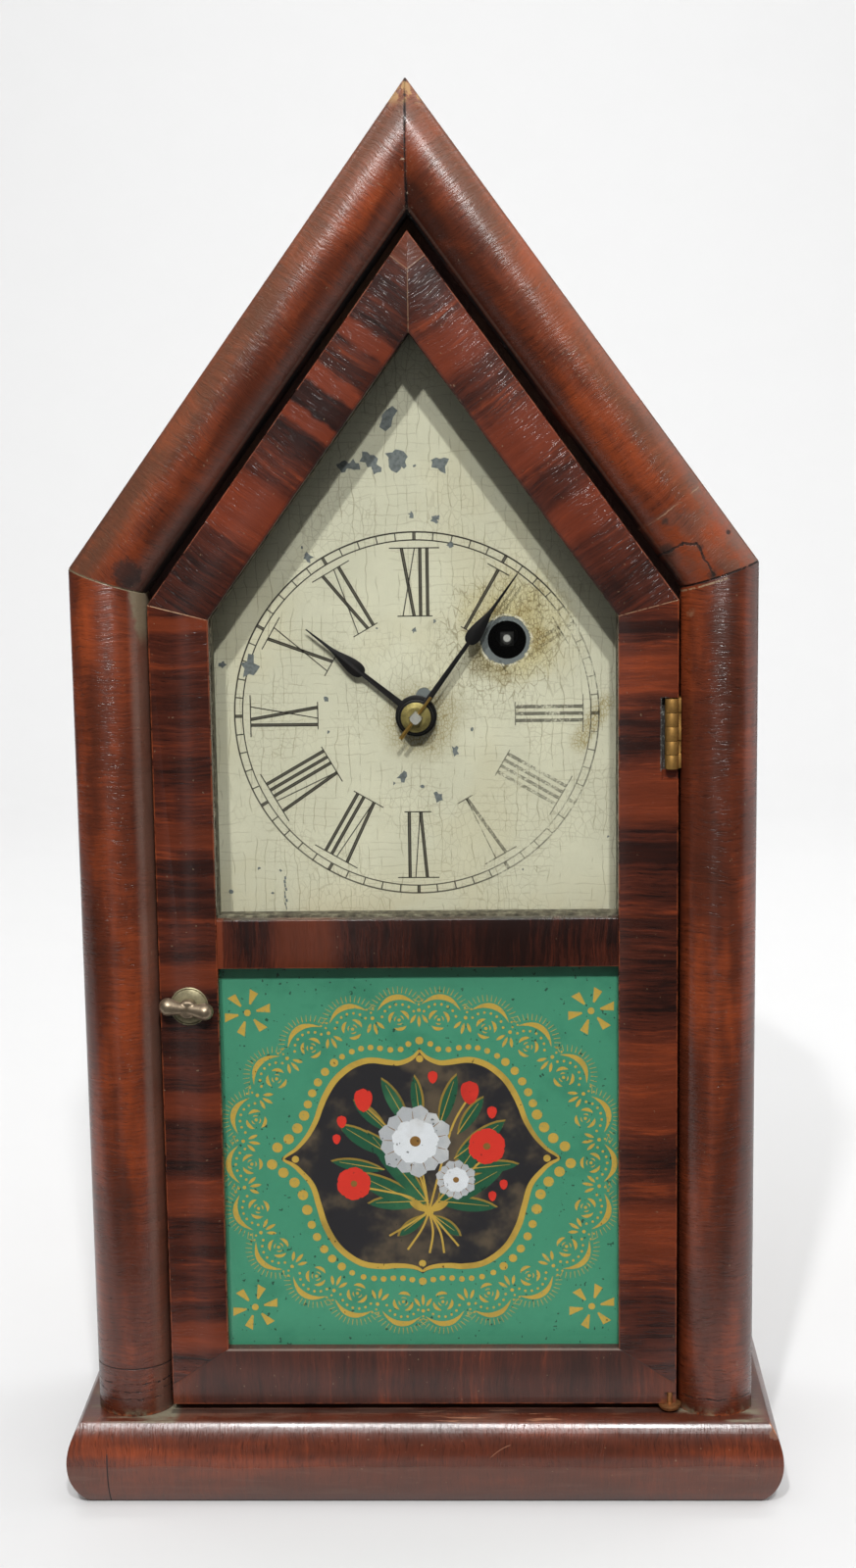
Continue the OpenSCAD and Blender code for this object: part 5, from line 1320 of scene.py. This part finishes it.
# The small sprays between the crescents
SPRAYS = (
    (0.0, 41.9, 0), (12.6, 39.7, 15), (24.6, 35.6, 27), (36.0, 28.6, 42), (44.4, 18.2, 61), (48.6, 5.2, 81),
    (48.6, -8.0, 100), (44.4, -21.0, 121), (36.0, -30.8, 139), (24.6, -37.8, 154), (12.6, -41.8, 166),
    (0.0, -43.8, 180),
)
# Right half of the cartouche's outline from its top cusp to its bottom cusp, the place of the side cusp
# in that row, and how many steps the smooth line takes from point to point
CARTOUCHE = (
    (0.0, 31.4), (1.4, 29.7), (3.0, 28.6), (5.7, 27.7), (8.6, 27.9), (12.9, 28.5), (16.2, 28.0),
    (19.8, 26.2), (23.5, 22.8), (26.1, 18.6), (27.7, 14.9), (29.0, 11.2), (31.4, 6.8), (34.6, 3.0),
    (38.2, 0.2), (36.0, -1.4), (34.0, -3.1), (30.4, -7.6), (28.6, -13.7), (26.8, -19.8), (23.2, -26.0),
    (17.4, -30.4), (11.6, -31.5), (8.0, -31.3), (4.3, -31.4), (1.6, -32.0), (0.0, -33.0),
)
SIDE_CUSP = 14
LINE_STEPS = 6
# The posy's leaves: foot from the pane's middle, length, width and turn
LEAVES = (
    (2, -14, 24, 7.4, -64), (3, -14, 23, 7.0, 60), (2, -13, 27, 7.2, -38), (4, -13, 27, 6.6, 34),
    (-8, 1, 17, 6.2, -58), (9, 0, 18, 6.4, 52), (-3, 9, 16, 5.2, -28), (5, 9, 16, 5.0, 18),
    (2, -12, 17, 5.6, -92), (4, -12, 17, 5.4, 96), (-10, -3, 15, 4.6, -80), (12, -3, 15, 4.6, 84),
    (0, 10, 14, 4.4, -6), (10, 7, 13, 4.6, 34), (-9, 8, 13, 4.6, -46), (3, -16, 10, 4.2, 128),
    (1, -16, 10, 4.2, -128),
)
# The posy's stems, which all start from its tie
TIE = (2, -15)
STEMS = (
    ((0, -6), (-4, 2), (-5, 9)), ((8, -8), (13, -4), (17, 0)), ((-3, -11), (-11, -9), (-17, -8)),
    ((6, 0), (9, 10), (13, 17)), ((-1, 0), (-10, 10), (-15, 15)), ((0, -20), (-4, -26)),
    ((3, -21), (2, -27)), ((6, -20), (10, -25)), ((5, -21), (6, -27)), ((-4, -19), (-9, -22)),
)
# Red flowers, red buds and white blossoms: middle and size, and for the red flowers their heart's size
RED_FLOWERS = ((18.0, 3.5, 5.2, 1.0), (-18.5, -7.0, 4.8, 0.9))
BUDS = (
    (13.5, 18.5, 3.2), (-15.5, 16.5, 3.2), (19.5, 13.0, 1.7), (-21.5, 10.5, 1.7), (22.5, -7.5, 1.4),
    (19.4, -10.8, 1.4), (-23.0, 5.6, 1.4), (3.5, 23.0, 1.7),
)
BLOSSOMS = ((-1.5, 5.0, 1.0), (9.5, -6.0, 0.55))


def arc_blob(z, radius, thick, middle, turn, y):
    """A crescent along a circle about 0, z, thick in its middle and pointed at its ends."""
    shares = [i / 8 for i in range(9)]
    line = [round_about(0, z, radius, middle - turn / 2 + turn * t) for t in shares]
    return ribbon(line, [max(0.08, thick * math.sin(math.pi * t) ** 0.8) for t in shares], y)


def scallop_motif(y, width):
    """One scallop of lace about the middle of its crescent's chord, with its outside upwards."""
    half = width / 2
    outer, inner = [], []
    for i in range(15):
        t = -1 + i / 7
        bow = 1 - abs(t) ** 2.2
        outer.append((half * t, 3.7 * bow))
        inner.append((half * t * 0.97, 2.15 * bow))
    parts = [flat_shape(outer + inner[-2:0:-1], y)]
    for i in range(15):
        t = -1.12 + 2.24 * i / 14
        reach = 5.9 + 0.5 * t * t
        parts.append(stroke(
            round_about(0, -1.8, reach, 62 * t), round_about(0, -1.8, reach + 1.8, 62 * t), 0.2, y, 0.5))
    for i in range(7):
        parts.append(dot(*round_about(0, -4.0, 4.9, -63 + 21 * i), 0.38, y, 8))
    parts.append(dot(0, -3.5, 0.45, y, 10))
    for radius, thick, turn, turns in ((1.2, 0.36, 74, (60, 180, 300)), (2.55, 0.95, 80, (-58, 58, 180))):
        for middle in turns:
            parts.append(arc_blob(-3.5, radius, thick, middle, turn, y))
    return join(parts, "scallop")


def spray_motif(y):
    """The small spray of petals between two scallops, with its outside upwards."""
    parts = [dot(0, 0, 0.52, y, 10)]
    for x, z, radius in ((0, 1.6, 0.32), (-0.9, 2.7, 0.3), (0.9, 2.7, 0.3)):
        parts.append(dot(x, z, radius, y, 8))
    for turn, reach in ((-33, 2.9), (0, 3.3), (33, 2.9)):
        parts.append(petal(*round_about(0, 0, 1.5, 180 - turn), reach, 1.15, 180 - turn, y, steps=6))
    return join(parts, "spray")


class CLOCK_OT_glass(bpy.types.Operator):
    """Glaze the door and lay the painted pane's ground behind its glass"""

    bl_idname = "clock.glass"
    bl_label = "Glass and putty"

    def execute(self, context):
        finish_nodes("upper_glass", clear_glass("upper_pane_glass"))
        low, high = node_box("lower_tablet")
        green = pane_paint("pane_green", context.scene.clock_pane.ground, 4.0, tint(44, 118, 92), 0.5)
        for name, front, back, material, slot, nodes in (
            ("lower_glass", GLASS_FRONT, SHEET_BACK, clear_glass("lower_pane_glass"), "clear_glass", ()),
            ("pane_ground", GROUND_FRONT, GLASS_BACK, green, "painted_glass", ["lower_tablet"]),
        ):
            pick()
            middle = Vector((0, (front + back) / 2, (low.z + high.z) / 2))
            bpy.ops.mesh.primitive_cube_add(size=1, location=middle * MM)
            piece = bpy.context.object
            piece.scale = Vector((high.x - low.x, back - front, high.z - low.z)) * MM
            bpy.context.view_layer.update()
            settle(piece, name)
            ease(piece, 0.1 * MM, segments=1)
            hold(piece, "door", material, nodes)
        s = Shader("old_putty")
        lump = s.noise(0.5, 4, 0.65)
        base = s.ramp(lump, [(0.3, tint(44, 38, 30)), (0.5, tint(92, 86, 70)), (0.72, tint(150, 144, 122))])
        dress("glazing_putty", "putty_beds", "door", s.surface(base, 0.85, lump, 0.3), 0.15)
        return {"FINISHED"}


class CLOCK_OT_lace(bpy.types.Operator):
    """Stencil the lace border, the beads and the corner stars"""

    bl_idname = "clock.lace"
    bl_label = "Painted border"

    def execute(self, context):
        pane = context.scene.clock_pane
        y = PAINT_Y
        gold = pane_paint("stencil_gold", pane.gold, 6.0, tint(150, 128, 60), 0.4, 0.5)
        for motif, rows, name in (
            (scallop_motif(y, pane.crescent / MM), SCALLOPS, "pane_lace"),
            (spray_motif(y), SPRAYS, "pane_sprays"),
        ):
            copies = [
                placed_copy(motif, side * x, TABLET_Z + z, side * turn)
                for side in (1, -1) for x, z, turn in rows if x or side > 0
            ]
            bpy.data.objects.remove(motif)
            paint(copies, name, 0.02, gold)

        # The beads follow the cartouche's outline at a distance, and skip what lies too near it
        outline = smooth_line(CARTOUCHE, 10)
        spots = []
        for (x0, z0), (x1, z1) in zip(outline, outline[1:]):
            spot = Vector((x1, z1)) + Vector((z0 - z1, x1 - x0)).normalized() * 3.0
            if spot.x > 1.6 and min((spot - Vector(p)).length for p in outline) > 2.9:
                spots.append(spot)
        beads = []
        travelled, due = 0.0, 0.8
        for before, spot in zip(spots, spots[1:]):
            travelled += (spot - before).length
            if travelled >= due:
                size = pane.bead / MM * (1.0 if spot.x > 31.0 else 0.8 if spot.x > 22.0 else 0.56)
                beads += [dot(side * spot.x, TABLET_Z + spot.y, size, y, 14) for side in (1, -1)]
                due = travelled + size * 2 + 0.95
        beads += [dot(0, TABLET_Z + z, 1.1, y, 14) for z in (33.4, -35.2)]
        paint(beads, "pane_beads", 0.02, gold)

        stars = []
        for x, z in ((-46.5, 136.6), (-46.5, 52.6), (46.5, 136.6), (46.5, 52.6)):
            stars.append(dot(x, z, 0.95, y, 12))
            for ray in range(6):
                cos, sin = math.cos(math.radians(60 * ray + 17)), math.sin(math.radians(60 * ray + 17))
                stars.append(flat_shape([
                    (x + sin * r + cos * w, z + cos * r - sin * w)
                    for r, w in ((2.5, -0.25), (2.5, 0.25), (6.0, 1.3), (6.6, -1.15))
                ], y))
        paint(stars, "pane_stars", 0.02, gold)
        return {"FINISHED"}


class CLOCK_OT_bouquet(bpy.types.Operator):
    """Paint the dark cartouche with a plain posy of flowers"""

    bl_idname = "clock.bouquet"
    bl_label = "Painted cartouche"

    def execute(self, context):
        pane = context.scene.clock_pane
        y = PAINT_Y
        right = smooth_line(CARTOUCHE, LINE_STEPS)
        outline = [(x, TABLET_Z + z) for x, z in right]
        outline += [(-x, TABLET_Z + z) for x, z in reversed(right[1:-1])]
        dusk = pane_paint("pane_black", pane.black, 9.0, tint(96, 82, 64), 0.85)
        paint([flat_shape(outline, y)], "pane_field", 0.015, dusk)
        gold = pane_paint("line_gold", pane.gold, 12.0, tint(120, 96, 44), 0.5)
        band = []
        for side in (1, -1):
            for part in (right[:SIDE_CUSP * LINE_STEPS + 1], right[SIDE_CUSP * LINE_STEPS:]):
                last = len(part) - 1
                swells = [max(0.0, math.sin(math.pi * i / last)) ** 0.6 for i in range(last + 1)]
                widths = [0.45 + 1.25 * swell for swell in swells]
                line = [(side * x * 0.985, TABLET_Z + z * 0.98) for x, z in part]
                band.append(ribbon(line, widths, y - 0.03))
        for x, z in ((0, 28.3), (0, -30.0), (34.4, 0.0), (-34.4, 0.0)):
            band.append(dot(x, TABLET_Z + z, 1.0, y - 0.03, 12))
        paint(band, "pane_outline", 0.015, gold)

        # A posy of its own: white blossoms, round red flowers, buds and broad leaves. Shapes that overlap
        # lie a hair apart in depth, so that none shade each other
        rims, leaves, stems = [], [], []
        for i, (x, z, reach, width, turn) in enumerate(LEAVES):
            z += TABLET_Z
            cos, sin = math.cos(math.radians(turn)), math.sin(math.radians(turn))
            side = 0.3 if i % 2 else -0.3
            rims.append(petal(x, z, reach, width, turn, y - 0.03 - 0.0008 * i))
            leaves.append(petal(x + side * cos + 0.2 * sin, z - side * sin + 0.2 * cos,
                                reach - 0.7, width - 0.75, turn, y - 0.05 - 0.0006 * i))
            tip = round_about(x, z, reach - 2.5, turn)
            stems.append(stroke((x, z), tip, 0.34, y - 0.066 - 0.0002 * i, 0.3))
        for points in STEMS:
            line = smooth_line([(x, TABLET_Z + z) for x, z in (TIE, *points)], LINE_STEPS)
            stems.append(ribbon(line, [0.55] * len(line), y - 0.066 - 0.0002 * len(stems)))
        for turn in (-64, 64):
            stems.append(petal(TIE[0], TABLET_Z + TIE[1], 6.0, 2.6, turn, y - 0.073 - 0.00001 * turn))
        stems.append(dot(TIE[0], TABLET_Z + TIE[1], 1.3, y - 0.076))
        reds, outer, inner, hearts = [], [], [], []
        for x, z, size, _ in RED_FLOWERS:
            z += TABLET_Z
            for i in range(6):
                reds.append(petal(x, z, size, size * 0.95, 60 * i + 8, y - 0.08 - 0.001 * i, 1.0))
            reds.append(dot(x, z, size * 0.4, y - 0.087, 16))
        for x, z, size in BUDS:
            reds.append(petal(x, TABLET_Z + z - size, size * 2.1, size * 1.5, 0, y - 0.08, 1.0))
        for x, z, size in BLOSSOMS:
            z += TABLET_Z
            for i in range(13):
                turn = 360 / 13 * i + 9
                outer.append(petal(
                    x, z, (10.4 - i % 2 * 0.7) * size, 5.4 * size, turn, y - 0.09 - 0.001 * i, 1.0))
            for i in range(9):
                inner.append(petal(x, z, 6.6 * size, 4.4 * size, 40 * i + 4, y - 0.107 - 0.001 * i, 1.0))
            hearts.append(dot(x, z, 1.5 * size, y - 0.12, 14))
            for i in range(13):
                turn = 360 / 13 * (i + 0.5) + 9
                start, end = round_about(x, z, 6.4 * size, turn), round_about(x, z, 8.6 * size, turn)
                hearts.append(stroke(start, end, 0.26, y - 0.118, 0.4))
        hearts += [dot(x, TABLET_Z + z, heart, y - 0.12, 12) for x, z, _, heart in RED_FLOWERS]
        for shapes, name, depth, material in (
            (rims, "pane_leaf_rims", 0.004,
             pane_paint("rim_gold", dim(pane.gold, 0.55), 13.0, tint(90, 80, 40), 0.6)),
            (leaves, "pane_leaves", 0.004, pane_paint("leaf_green", pane.leaf, 15.0, tint(58, 112, 76), 0.6)),
            (stems, "pane_stems", 0.003, gold),
            (reds, "pane_reds", 0.003, pane_paint("flower_red", pane.red, 18.0, tint(150, 30, 26), 0.5)),
            (outer, "pane_outer_petals", 0.003,
             pane_paint("petal_grey", dim(pane.white, 0.62), 20.0, tint(206, 206, 206), 0.8)),
            (inner, "pane_inner_petals", 0.002,
             pane_paint("petal_white", pane.white, 21.0, tint(176, 172, 168), 0.6)),
            (hearts, "pane_hearts", 0.004,
             pane_paint("heart_brown", tint(134, 96, 44), 24.0, tint(80, 52, 26), 0.5)),
        ):
            paint(shapes, name, depth, material)
        return {"FINISHED"}


# Metal


def metal(name, shade, seed, roughness=0.35, tarnish=0.4, dark=None, scratches=0.3, metallic=1.0,
          relief=0.03, oil_and_shade_from=None):
    """Old metal with patchy tarnish and fine scratches. The last argument blackens it behind the winding
    hole, as old oil and painted shade, from that far out from the hole's middle."""
    dark = dark or dim(shade, 0.3)
    s = Shader(name)
    cloud = s.noise(0.35, 4, 0.65, seed)
    pits = s.patches(0.58, 0.7, 1.8, 3, 0.6, seed * 3)
    lines = s.noise((0.4, 6.0, 6.0), 2, 0.5, seed * 5)
    stain = s.soft(cloud, 0.4, 0.68) * tarnish
    base = s.blend(pits * tarnish * 0.7, s.blend(stain, shade, dark), dark)
    rough = roughness + stain * 0.3 + lines * 0.12 * scratches
    if oil_and_shade_from is not None:
        # Old oil and painted shade blacken what shows through the winding hole
        hole = s.far(WINDING_X, WINDING_Z + 0.4)
        oil_and_shade = s.fall(hole, 8.0, 10.0) * s.soft(hole, oil_and_shade_from, oil_and_shade_from + 0.4)
        base = s.blend(oil_and_shade * 0.97, base, tint(8, 7, 6))
        rough = rough + oil_and_shade * 0.3
    return s.surface(base, rough, cloud - pits * 0.5 + lines * 0.2, relief, metallic)


class CLOCK_OT_hands(bpy.types.Operator):
    """Finish the hands, their washer and pin"""

    bl_idname = "clock.hands"
    bl_label = "Hands"

    def execute(self, context):
        blued = context.scene.clock_metal.blued
        black = metal("hand_black", blued, 31.0, 0.38, 0.3, tint(40, 30, 26), 0.4, 0.6)
        washer = metal(
            "washer_brass", tint(160, 146, 88), 33.0, 0.42, 0.5, tint(84, 74, 40), metallic=0.7)
        for node, body in (("hour_hand", "hour"), ("minute_hand", "hands")):
            front = node_box(node)[0].y + 0.1
            dress(node, node + "_eased", body, black, 0.14, lambda m, y=front: m.y < y, 25)
        steel = metal("arbor_steel", tint(180, 178, 170), 37.0, 0.42, 0.3, metallic=0.45)
        finish_nodes("hand_washer", washer)
        finish_nodes("taper_pin", metal("pin_brass", tint(200, 160, 84), 35.0, 0.3, 0.3))
        finish_nodes("centre_arbor", steel)
        return {"FINISHED"}


class CLOCK_OT_hinge(bpy.types.Operator):
    """Finish the hinge and the pivot screw"""

    bl_idname = "clock.hinge"
    bl_label = "Hinge and pivot"

    def execute(self, context):
        old = context.scene.clock_metal.old_brass
        leaf = metal("hinge_brass", tint(178, 136, 74), 41.0, 0.46, 0.5, tint(84, 60, 32), 0.5, 0.8, 0.008)
        pin = metal("hinge_pin_brass", tint(206, 172, 112), 43.0, 0.4, 0.3, None, 0.3, 0.8)
        head = metal("pivot_brass", tint(176, 124, 78), 47.0, 0.42, 0.5, tint(60, 40, 24), 0.5, 0.8)
        for node, body in (("hinge_case_leaf", "case"), ("hinge_door_leaf", "door")):
            dress(node, node + "_eased", body, leaf, 0.12, None, 30)
        finish_nodes("hinge_pin", pin)
        finish_nodes("hinge_case_screws hinge_door_screws", metal("hinge_screw_brass", old, 45.0, 0.4, 0.5))
        finish_nodes("pivot_screw", head)
        return {"FINISHED"}


# The latch plate's dome: steps in from its edge, and how far each rises as a share of its depth
DOME = ((0.22, 0.12), (0.3, -0.12), (0.5, 0.26), (0.9, 0.3), (1.3, 0.22), (1.2, 0.08))


class CLOCK_OT_latch(bpy.types.Operator):
    """Model the domed latch plate and the plump thumb turn"""

    bl_idname = "clock.latch"
    bl_label = "Latch"

    def execute(self, context):
        low, high = node_box("latch_plate")
        depth = (high.y - low.y) * MM
        pick()
        bpy.ops.mesh.primitive_circle_add(
            vertices=72, radius=(high.x - low.x) / 2 * MM, fill_type="NGON", rotation=UPRIGHT,
            location=Vector(((low.x + high.x) / 2, high.y, (low.z + high.z) / 2)) * MM,
        )
        plate = bpy.context.object
        with editing(plate):
            bpy.ops.mesh.extrude_region_move(TRANSFORM_OT_translate={"value": (0, -0.3 * depth, 0)})
            for inset, rise in DOME:
                bpy.ops.mesh.inset(thickness=inset * MM, depth=rise * depth)
        settle(plate, "latch_dome")
        with editing(plate):
            bpy.ops.mesh.normals_make_consistent(inside=False)
        smooth(plate, 40)
        olive = metal("latch_brass", tint(150, 142, 112), 51.0, 0.42, 0.5, tint(74, 68, 48), 0.5, 0.75)
        hold(plate, "door", olive, ["latch_plate"])
        turn = copy_of("latch_turn", "latch_thumb")
        change(turn, "REMESH", mode="VOXEL", voxel_size=0.22 * MM)
        change(turn, "DISPLACE", strength=0.32 * MM, mid_level=0.0)
        change(turn, "SMOOTH", factor=0.5, iterations=6)
        bpy.ops.object.shade_smooth()
        brown = metal("thumb_brass", tint(150, 134, 112), 53.0, 0.3, 0.5, tint(72, 60, 46), 0.5, 0.8)
        hold(turn, "latch", brown, ["latch_turn"])
        finish_nodes("latch_hook", metal("hook_iron", context.scene.clock_metal.iron, 55.0, 0.5, 0.5))
        return {"FINISHED"}


class CLOCK_OT_movement(bpy.types.Operator):
    """Finish the movement's brass, steel and iron"""

    bl_idname = "clock.movement"
    bl_label = "Movement"

    def execute(self, context):
        brass, iron = context.scene.clock_metal.brass, context.scene.clock_metal.iron
        for nodes, material in (
            ("front_plate back_plate plate_pillars escape_bridge suspension_post",
             metal("plate_brass", brass, 61.0, 0.4, 0.45, tint(96, 70, 32), 0.6, oil_and_shade_from=-1.0)),
            ("great_wheel centre_wheel third_wheel escape_wheel hour_wheel minute_wheel pendulum_rod",
             metal("wheel_brass", brass, 63.0, 0.32, 0.35, tint(110, 80, 38), 0.5, oil_and_shade_from=-1.0)),
            ("click verge_crutch",
             metal("arbor_grey_steel", tint(188, 187, 182), 65.0, 0.36, 0.25, metallic=0.6, oil_and_shade_from=-1.0)),
            ("winding_arbor",
             metal("winding_steel", tint(206, 205, 200), 66.0, 0.34, 0.2, metallic=0.5, oil_and_shade_from=0.75)),
            ("mainspring click_spring suspension_spring",
             metal("spring_blue_steel", tint(58, 60, 68), 67.0, 0.3, 0.4, oil_and_shade_from=-1.0)),
            ("movement_screws", metal("screw_iron", iron, 69.0, 0.5, 0.55)),
            ("pendulum_bob", metal("bob_brass", tint(190, 150, 78), 71.0, 0.28, 0.4, tint(90, 62, 28), 0.5)),
        ):
            finish_nodes(nodes, material)
        return {"FINISHED"}


# Stage

# The floor's front and back edge and the backdrop's height and sweep, in metres
FLOOR_FRONT, FLOOR_BACK, BACKDROP, SWEEP = -0.12, 2.1, 3.0, 1.1
# The camera's place in millimetres, and its turn to the right, down and over in degrees
CAMERA = (22.62, -666.31, 306.68)
CAMERA_TURN = (-1.745, 9.634, 0.796)


class CLOCK_OT_stage(bpy.types.Operator):
    """Lay the floor, hang the lights and aim the camera"""

    bl_idname = "clock.stage"
    bl_label = "Stage"

    def execute(self, context):
        stage = context.scene.clock_stage
        pick()
        bpy.ops.mesh.primitive_plane_add(
            size=FLOOR_BACK - FLOOR_FRONT, location=(0, (FLOOR_BACK + FLOOR_FRONT) / 2, 0))
        floor = settle(bpy.context.object, "floor")
        with editing(floor, "EDGE"):
            select_edges(floor, lambda edge: all(v.co.y > FLOOR_BACK - 0.01 for v in edge.verts))
            bpy.ops.mesh.extrude_edges_move(TRANSFORM_OT_translate={"value": (0, 0, BACKDROP)})
            select_edges(
                floor, lambda edge: all(v.co.y > FLOOR_BACK - 0.01 and v.co.z < 0.1 for v in edge.verts))
            bpy.ops.mesh.bevel(offset=SWEEP, segments=16, affect="EDGES")
        smooth(floor, 40)
        s = Shader("floor_paper")
        grain = s.noise(0.02, 3)
        floor.data.materials.append(s.surface(s.shade(stage.floor, 0.99 + grain * 0.02), 0.9, grain, 0.01))
        for name, place, aim, size, power in (
            ("left_lamp", (-0.19, -1.25, 1.21), (0, 0, 0.216), (0.05, 0.05), stage.key),
            ("right_lamp", (0.154, -1.28, 1.157), (0, 0, 0.216), (0.05, 0.05), stage.key),
            ("front_panel", (0.0, -0.95, 1.95), (0, 0, 0.2), (2.4, 1.0), stage.fill * 15.0),
            ("front_fill", (0.05, -1.2, 0.5), (0, 0, 0.2), (1.2, 0.8), stage.fill * 0.9),
            ("top_panel", (0.0, 0.3, 1.9), (0, 0.3, 0), (2.2, 1.6), stage.fill * 10.0),
            ("right_panel", (1.1, 0.3, 0.5), (0, 0.3, 0.5), (1.3, 1.4), stage.fill * 6.0),
            ("low_panel", (-0.35, -1.4, -0.1), (0, 0, 0.2), (0.25, 1.0), stage.fill * 0.4),
            ("back_panel", (0.0, 0.5, 1.6), (0, 2.1, 0.5), (2.4, 0.8), stage.fill * 28.0),
        ):
            bpy.ops.object.light_add(type="AREA", location=place)
            lamp = bpy.context.object
            lamp.name = name
            lamp.data.shape = "RECTANGLE"
            lamp.data.size, lamp.data.size_y = size
            lamp.data.energy = power
            lamp.visible_glossy = name != "front_fill"
            lamp.rotation_euler = (Vector(aim) - Vector(place)).to_track_quat("-Z", "Y").to_euler()

        # The room looks pale all round, but the light that it gives is dim
        world = context.scene.world or bpy.data.worlds.new("studio")
        context.scene.world = world
        world.use_nodes = True
        tree = world.node_tree
        back = tree.nodes["Background"]
        back.inputs["Color"].default_value = (*tint(250, 250, 250), 1)
        path = tree.nodes.new("ShaderNodeLightPath")
        seen = tree.nodes.new("ShaderNodeMath")
        seen.operation = "MULTIPLY_ADD"
        seen.inputs[1].default_value = 0.87
        seen.inputs[2].default_value = 0.05
        tree.links.new(path.outputs["Is Camera Ray"], seen.inputs[0])
        tree.links.new(seen.outputs[0], back.inputs["Strength"])

        yaw, pitch, roll = (math.radians(turn) for turn in CAMERA_TURN)
        ahead = Vector((math.sin(yaw) * math.cos(pitch), math.cos(yaw) * math.cos(pitch), -math.sin(pitch)))
        level = Vector((math.cos(yaw), -math.sin(yaw), 0))
        down = ahead.cross(level)
        right = math.cos(roll) * level + math.sin(roll) * down
        under = -math.sin(roll) * level + math.cos(roll) * down
        bpy.ops.object.camera_add()
        camera = bpy.context.object
        camera.name = "camera"
        turn = Matrix((right, -under, -ahead)).transposed().to_4x4()
        camera.matrix_world = Matrix.Translation(Vector(CAMERA) * MM) @ turn
        camera.data.sensor_width = 36
        camera.data.lens = stage.lens
        camera.data.clip_start = 0.02
        context.scene.camera = camera
        context.scene.view_settings.view_transform = "Standard"
        return {"FINISHED"}


class CLOCK_PT_panel(bpy.types.Panel):
    """Lists the clock's pieces, sizes and colours"""

    bl_label = "Steeple clock"
    bl_idname = "CLOCK_PT_panel"
    bl_space_type = "VIEW_3D"
    bl_region_type = "UI"
    bl_category = "Clock"

    def draw(self, context):
        for operator in OPERATORS:
            self.layout.operator(operator.bl_idname)
        for group_name in GROUPS:
            group = getattr(context.scene, group_name)
            box = self.layout.box()
            for key in group.__annotations__:
                box.prop(group, key)


GROUPS = {
    "clock_wood": ClockWood, "clock_dial": ClockDial, "clock_pane": ClockPane,
    "clock_metal": ClockMetal, "clock_stage": ClockStage,
}
OPERATORS = (
    CLOCK_OT_case, CLOCK_OT_base, CLOCK_OT_mouldings, CLOCK_OT_door, CLOCK_OT_dial, CLOCK_OT_glass,
    CLOCK_OT_lace, CLOCK_OT_bouquet, CLOCK_OT_hands, CLOCK_OT_hinge, CLOCK_OT_latch, CLOCK_OT_movement,
    CLOCK_OT_stage,
)


def register():
    for group_name, group in GROUPS.items():
        bpy.utils.register_class(group)
        setattr(bpy.types.Scene, group_name, PointerProperty(type=group))
    for item in (*OPERATORS, CLOCK_PT_panel):
        bpy.utils.register_class(item)


def unregister():
    for item in (CLOCK_PT_panel, *reversed(OPERATORS)):
        bpy.utils.unregister_class(item)
    for group_name, group in GROUPS.items():
        delattr(bpy.types.Scene, group_name)
        bpy.utils.unregister_class(group)


def main():
    register()
    pick()
    for operator in OPERATORS:
        getattr(bpy.ops.clock, operator.bl_idname.split(".")[1])()


if __name__ == "__main__":
    main()
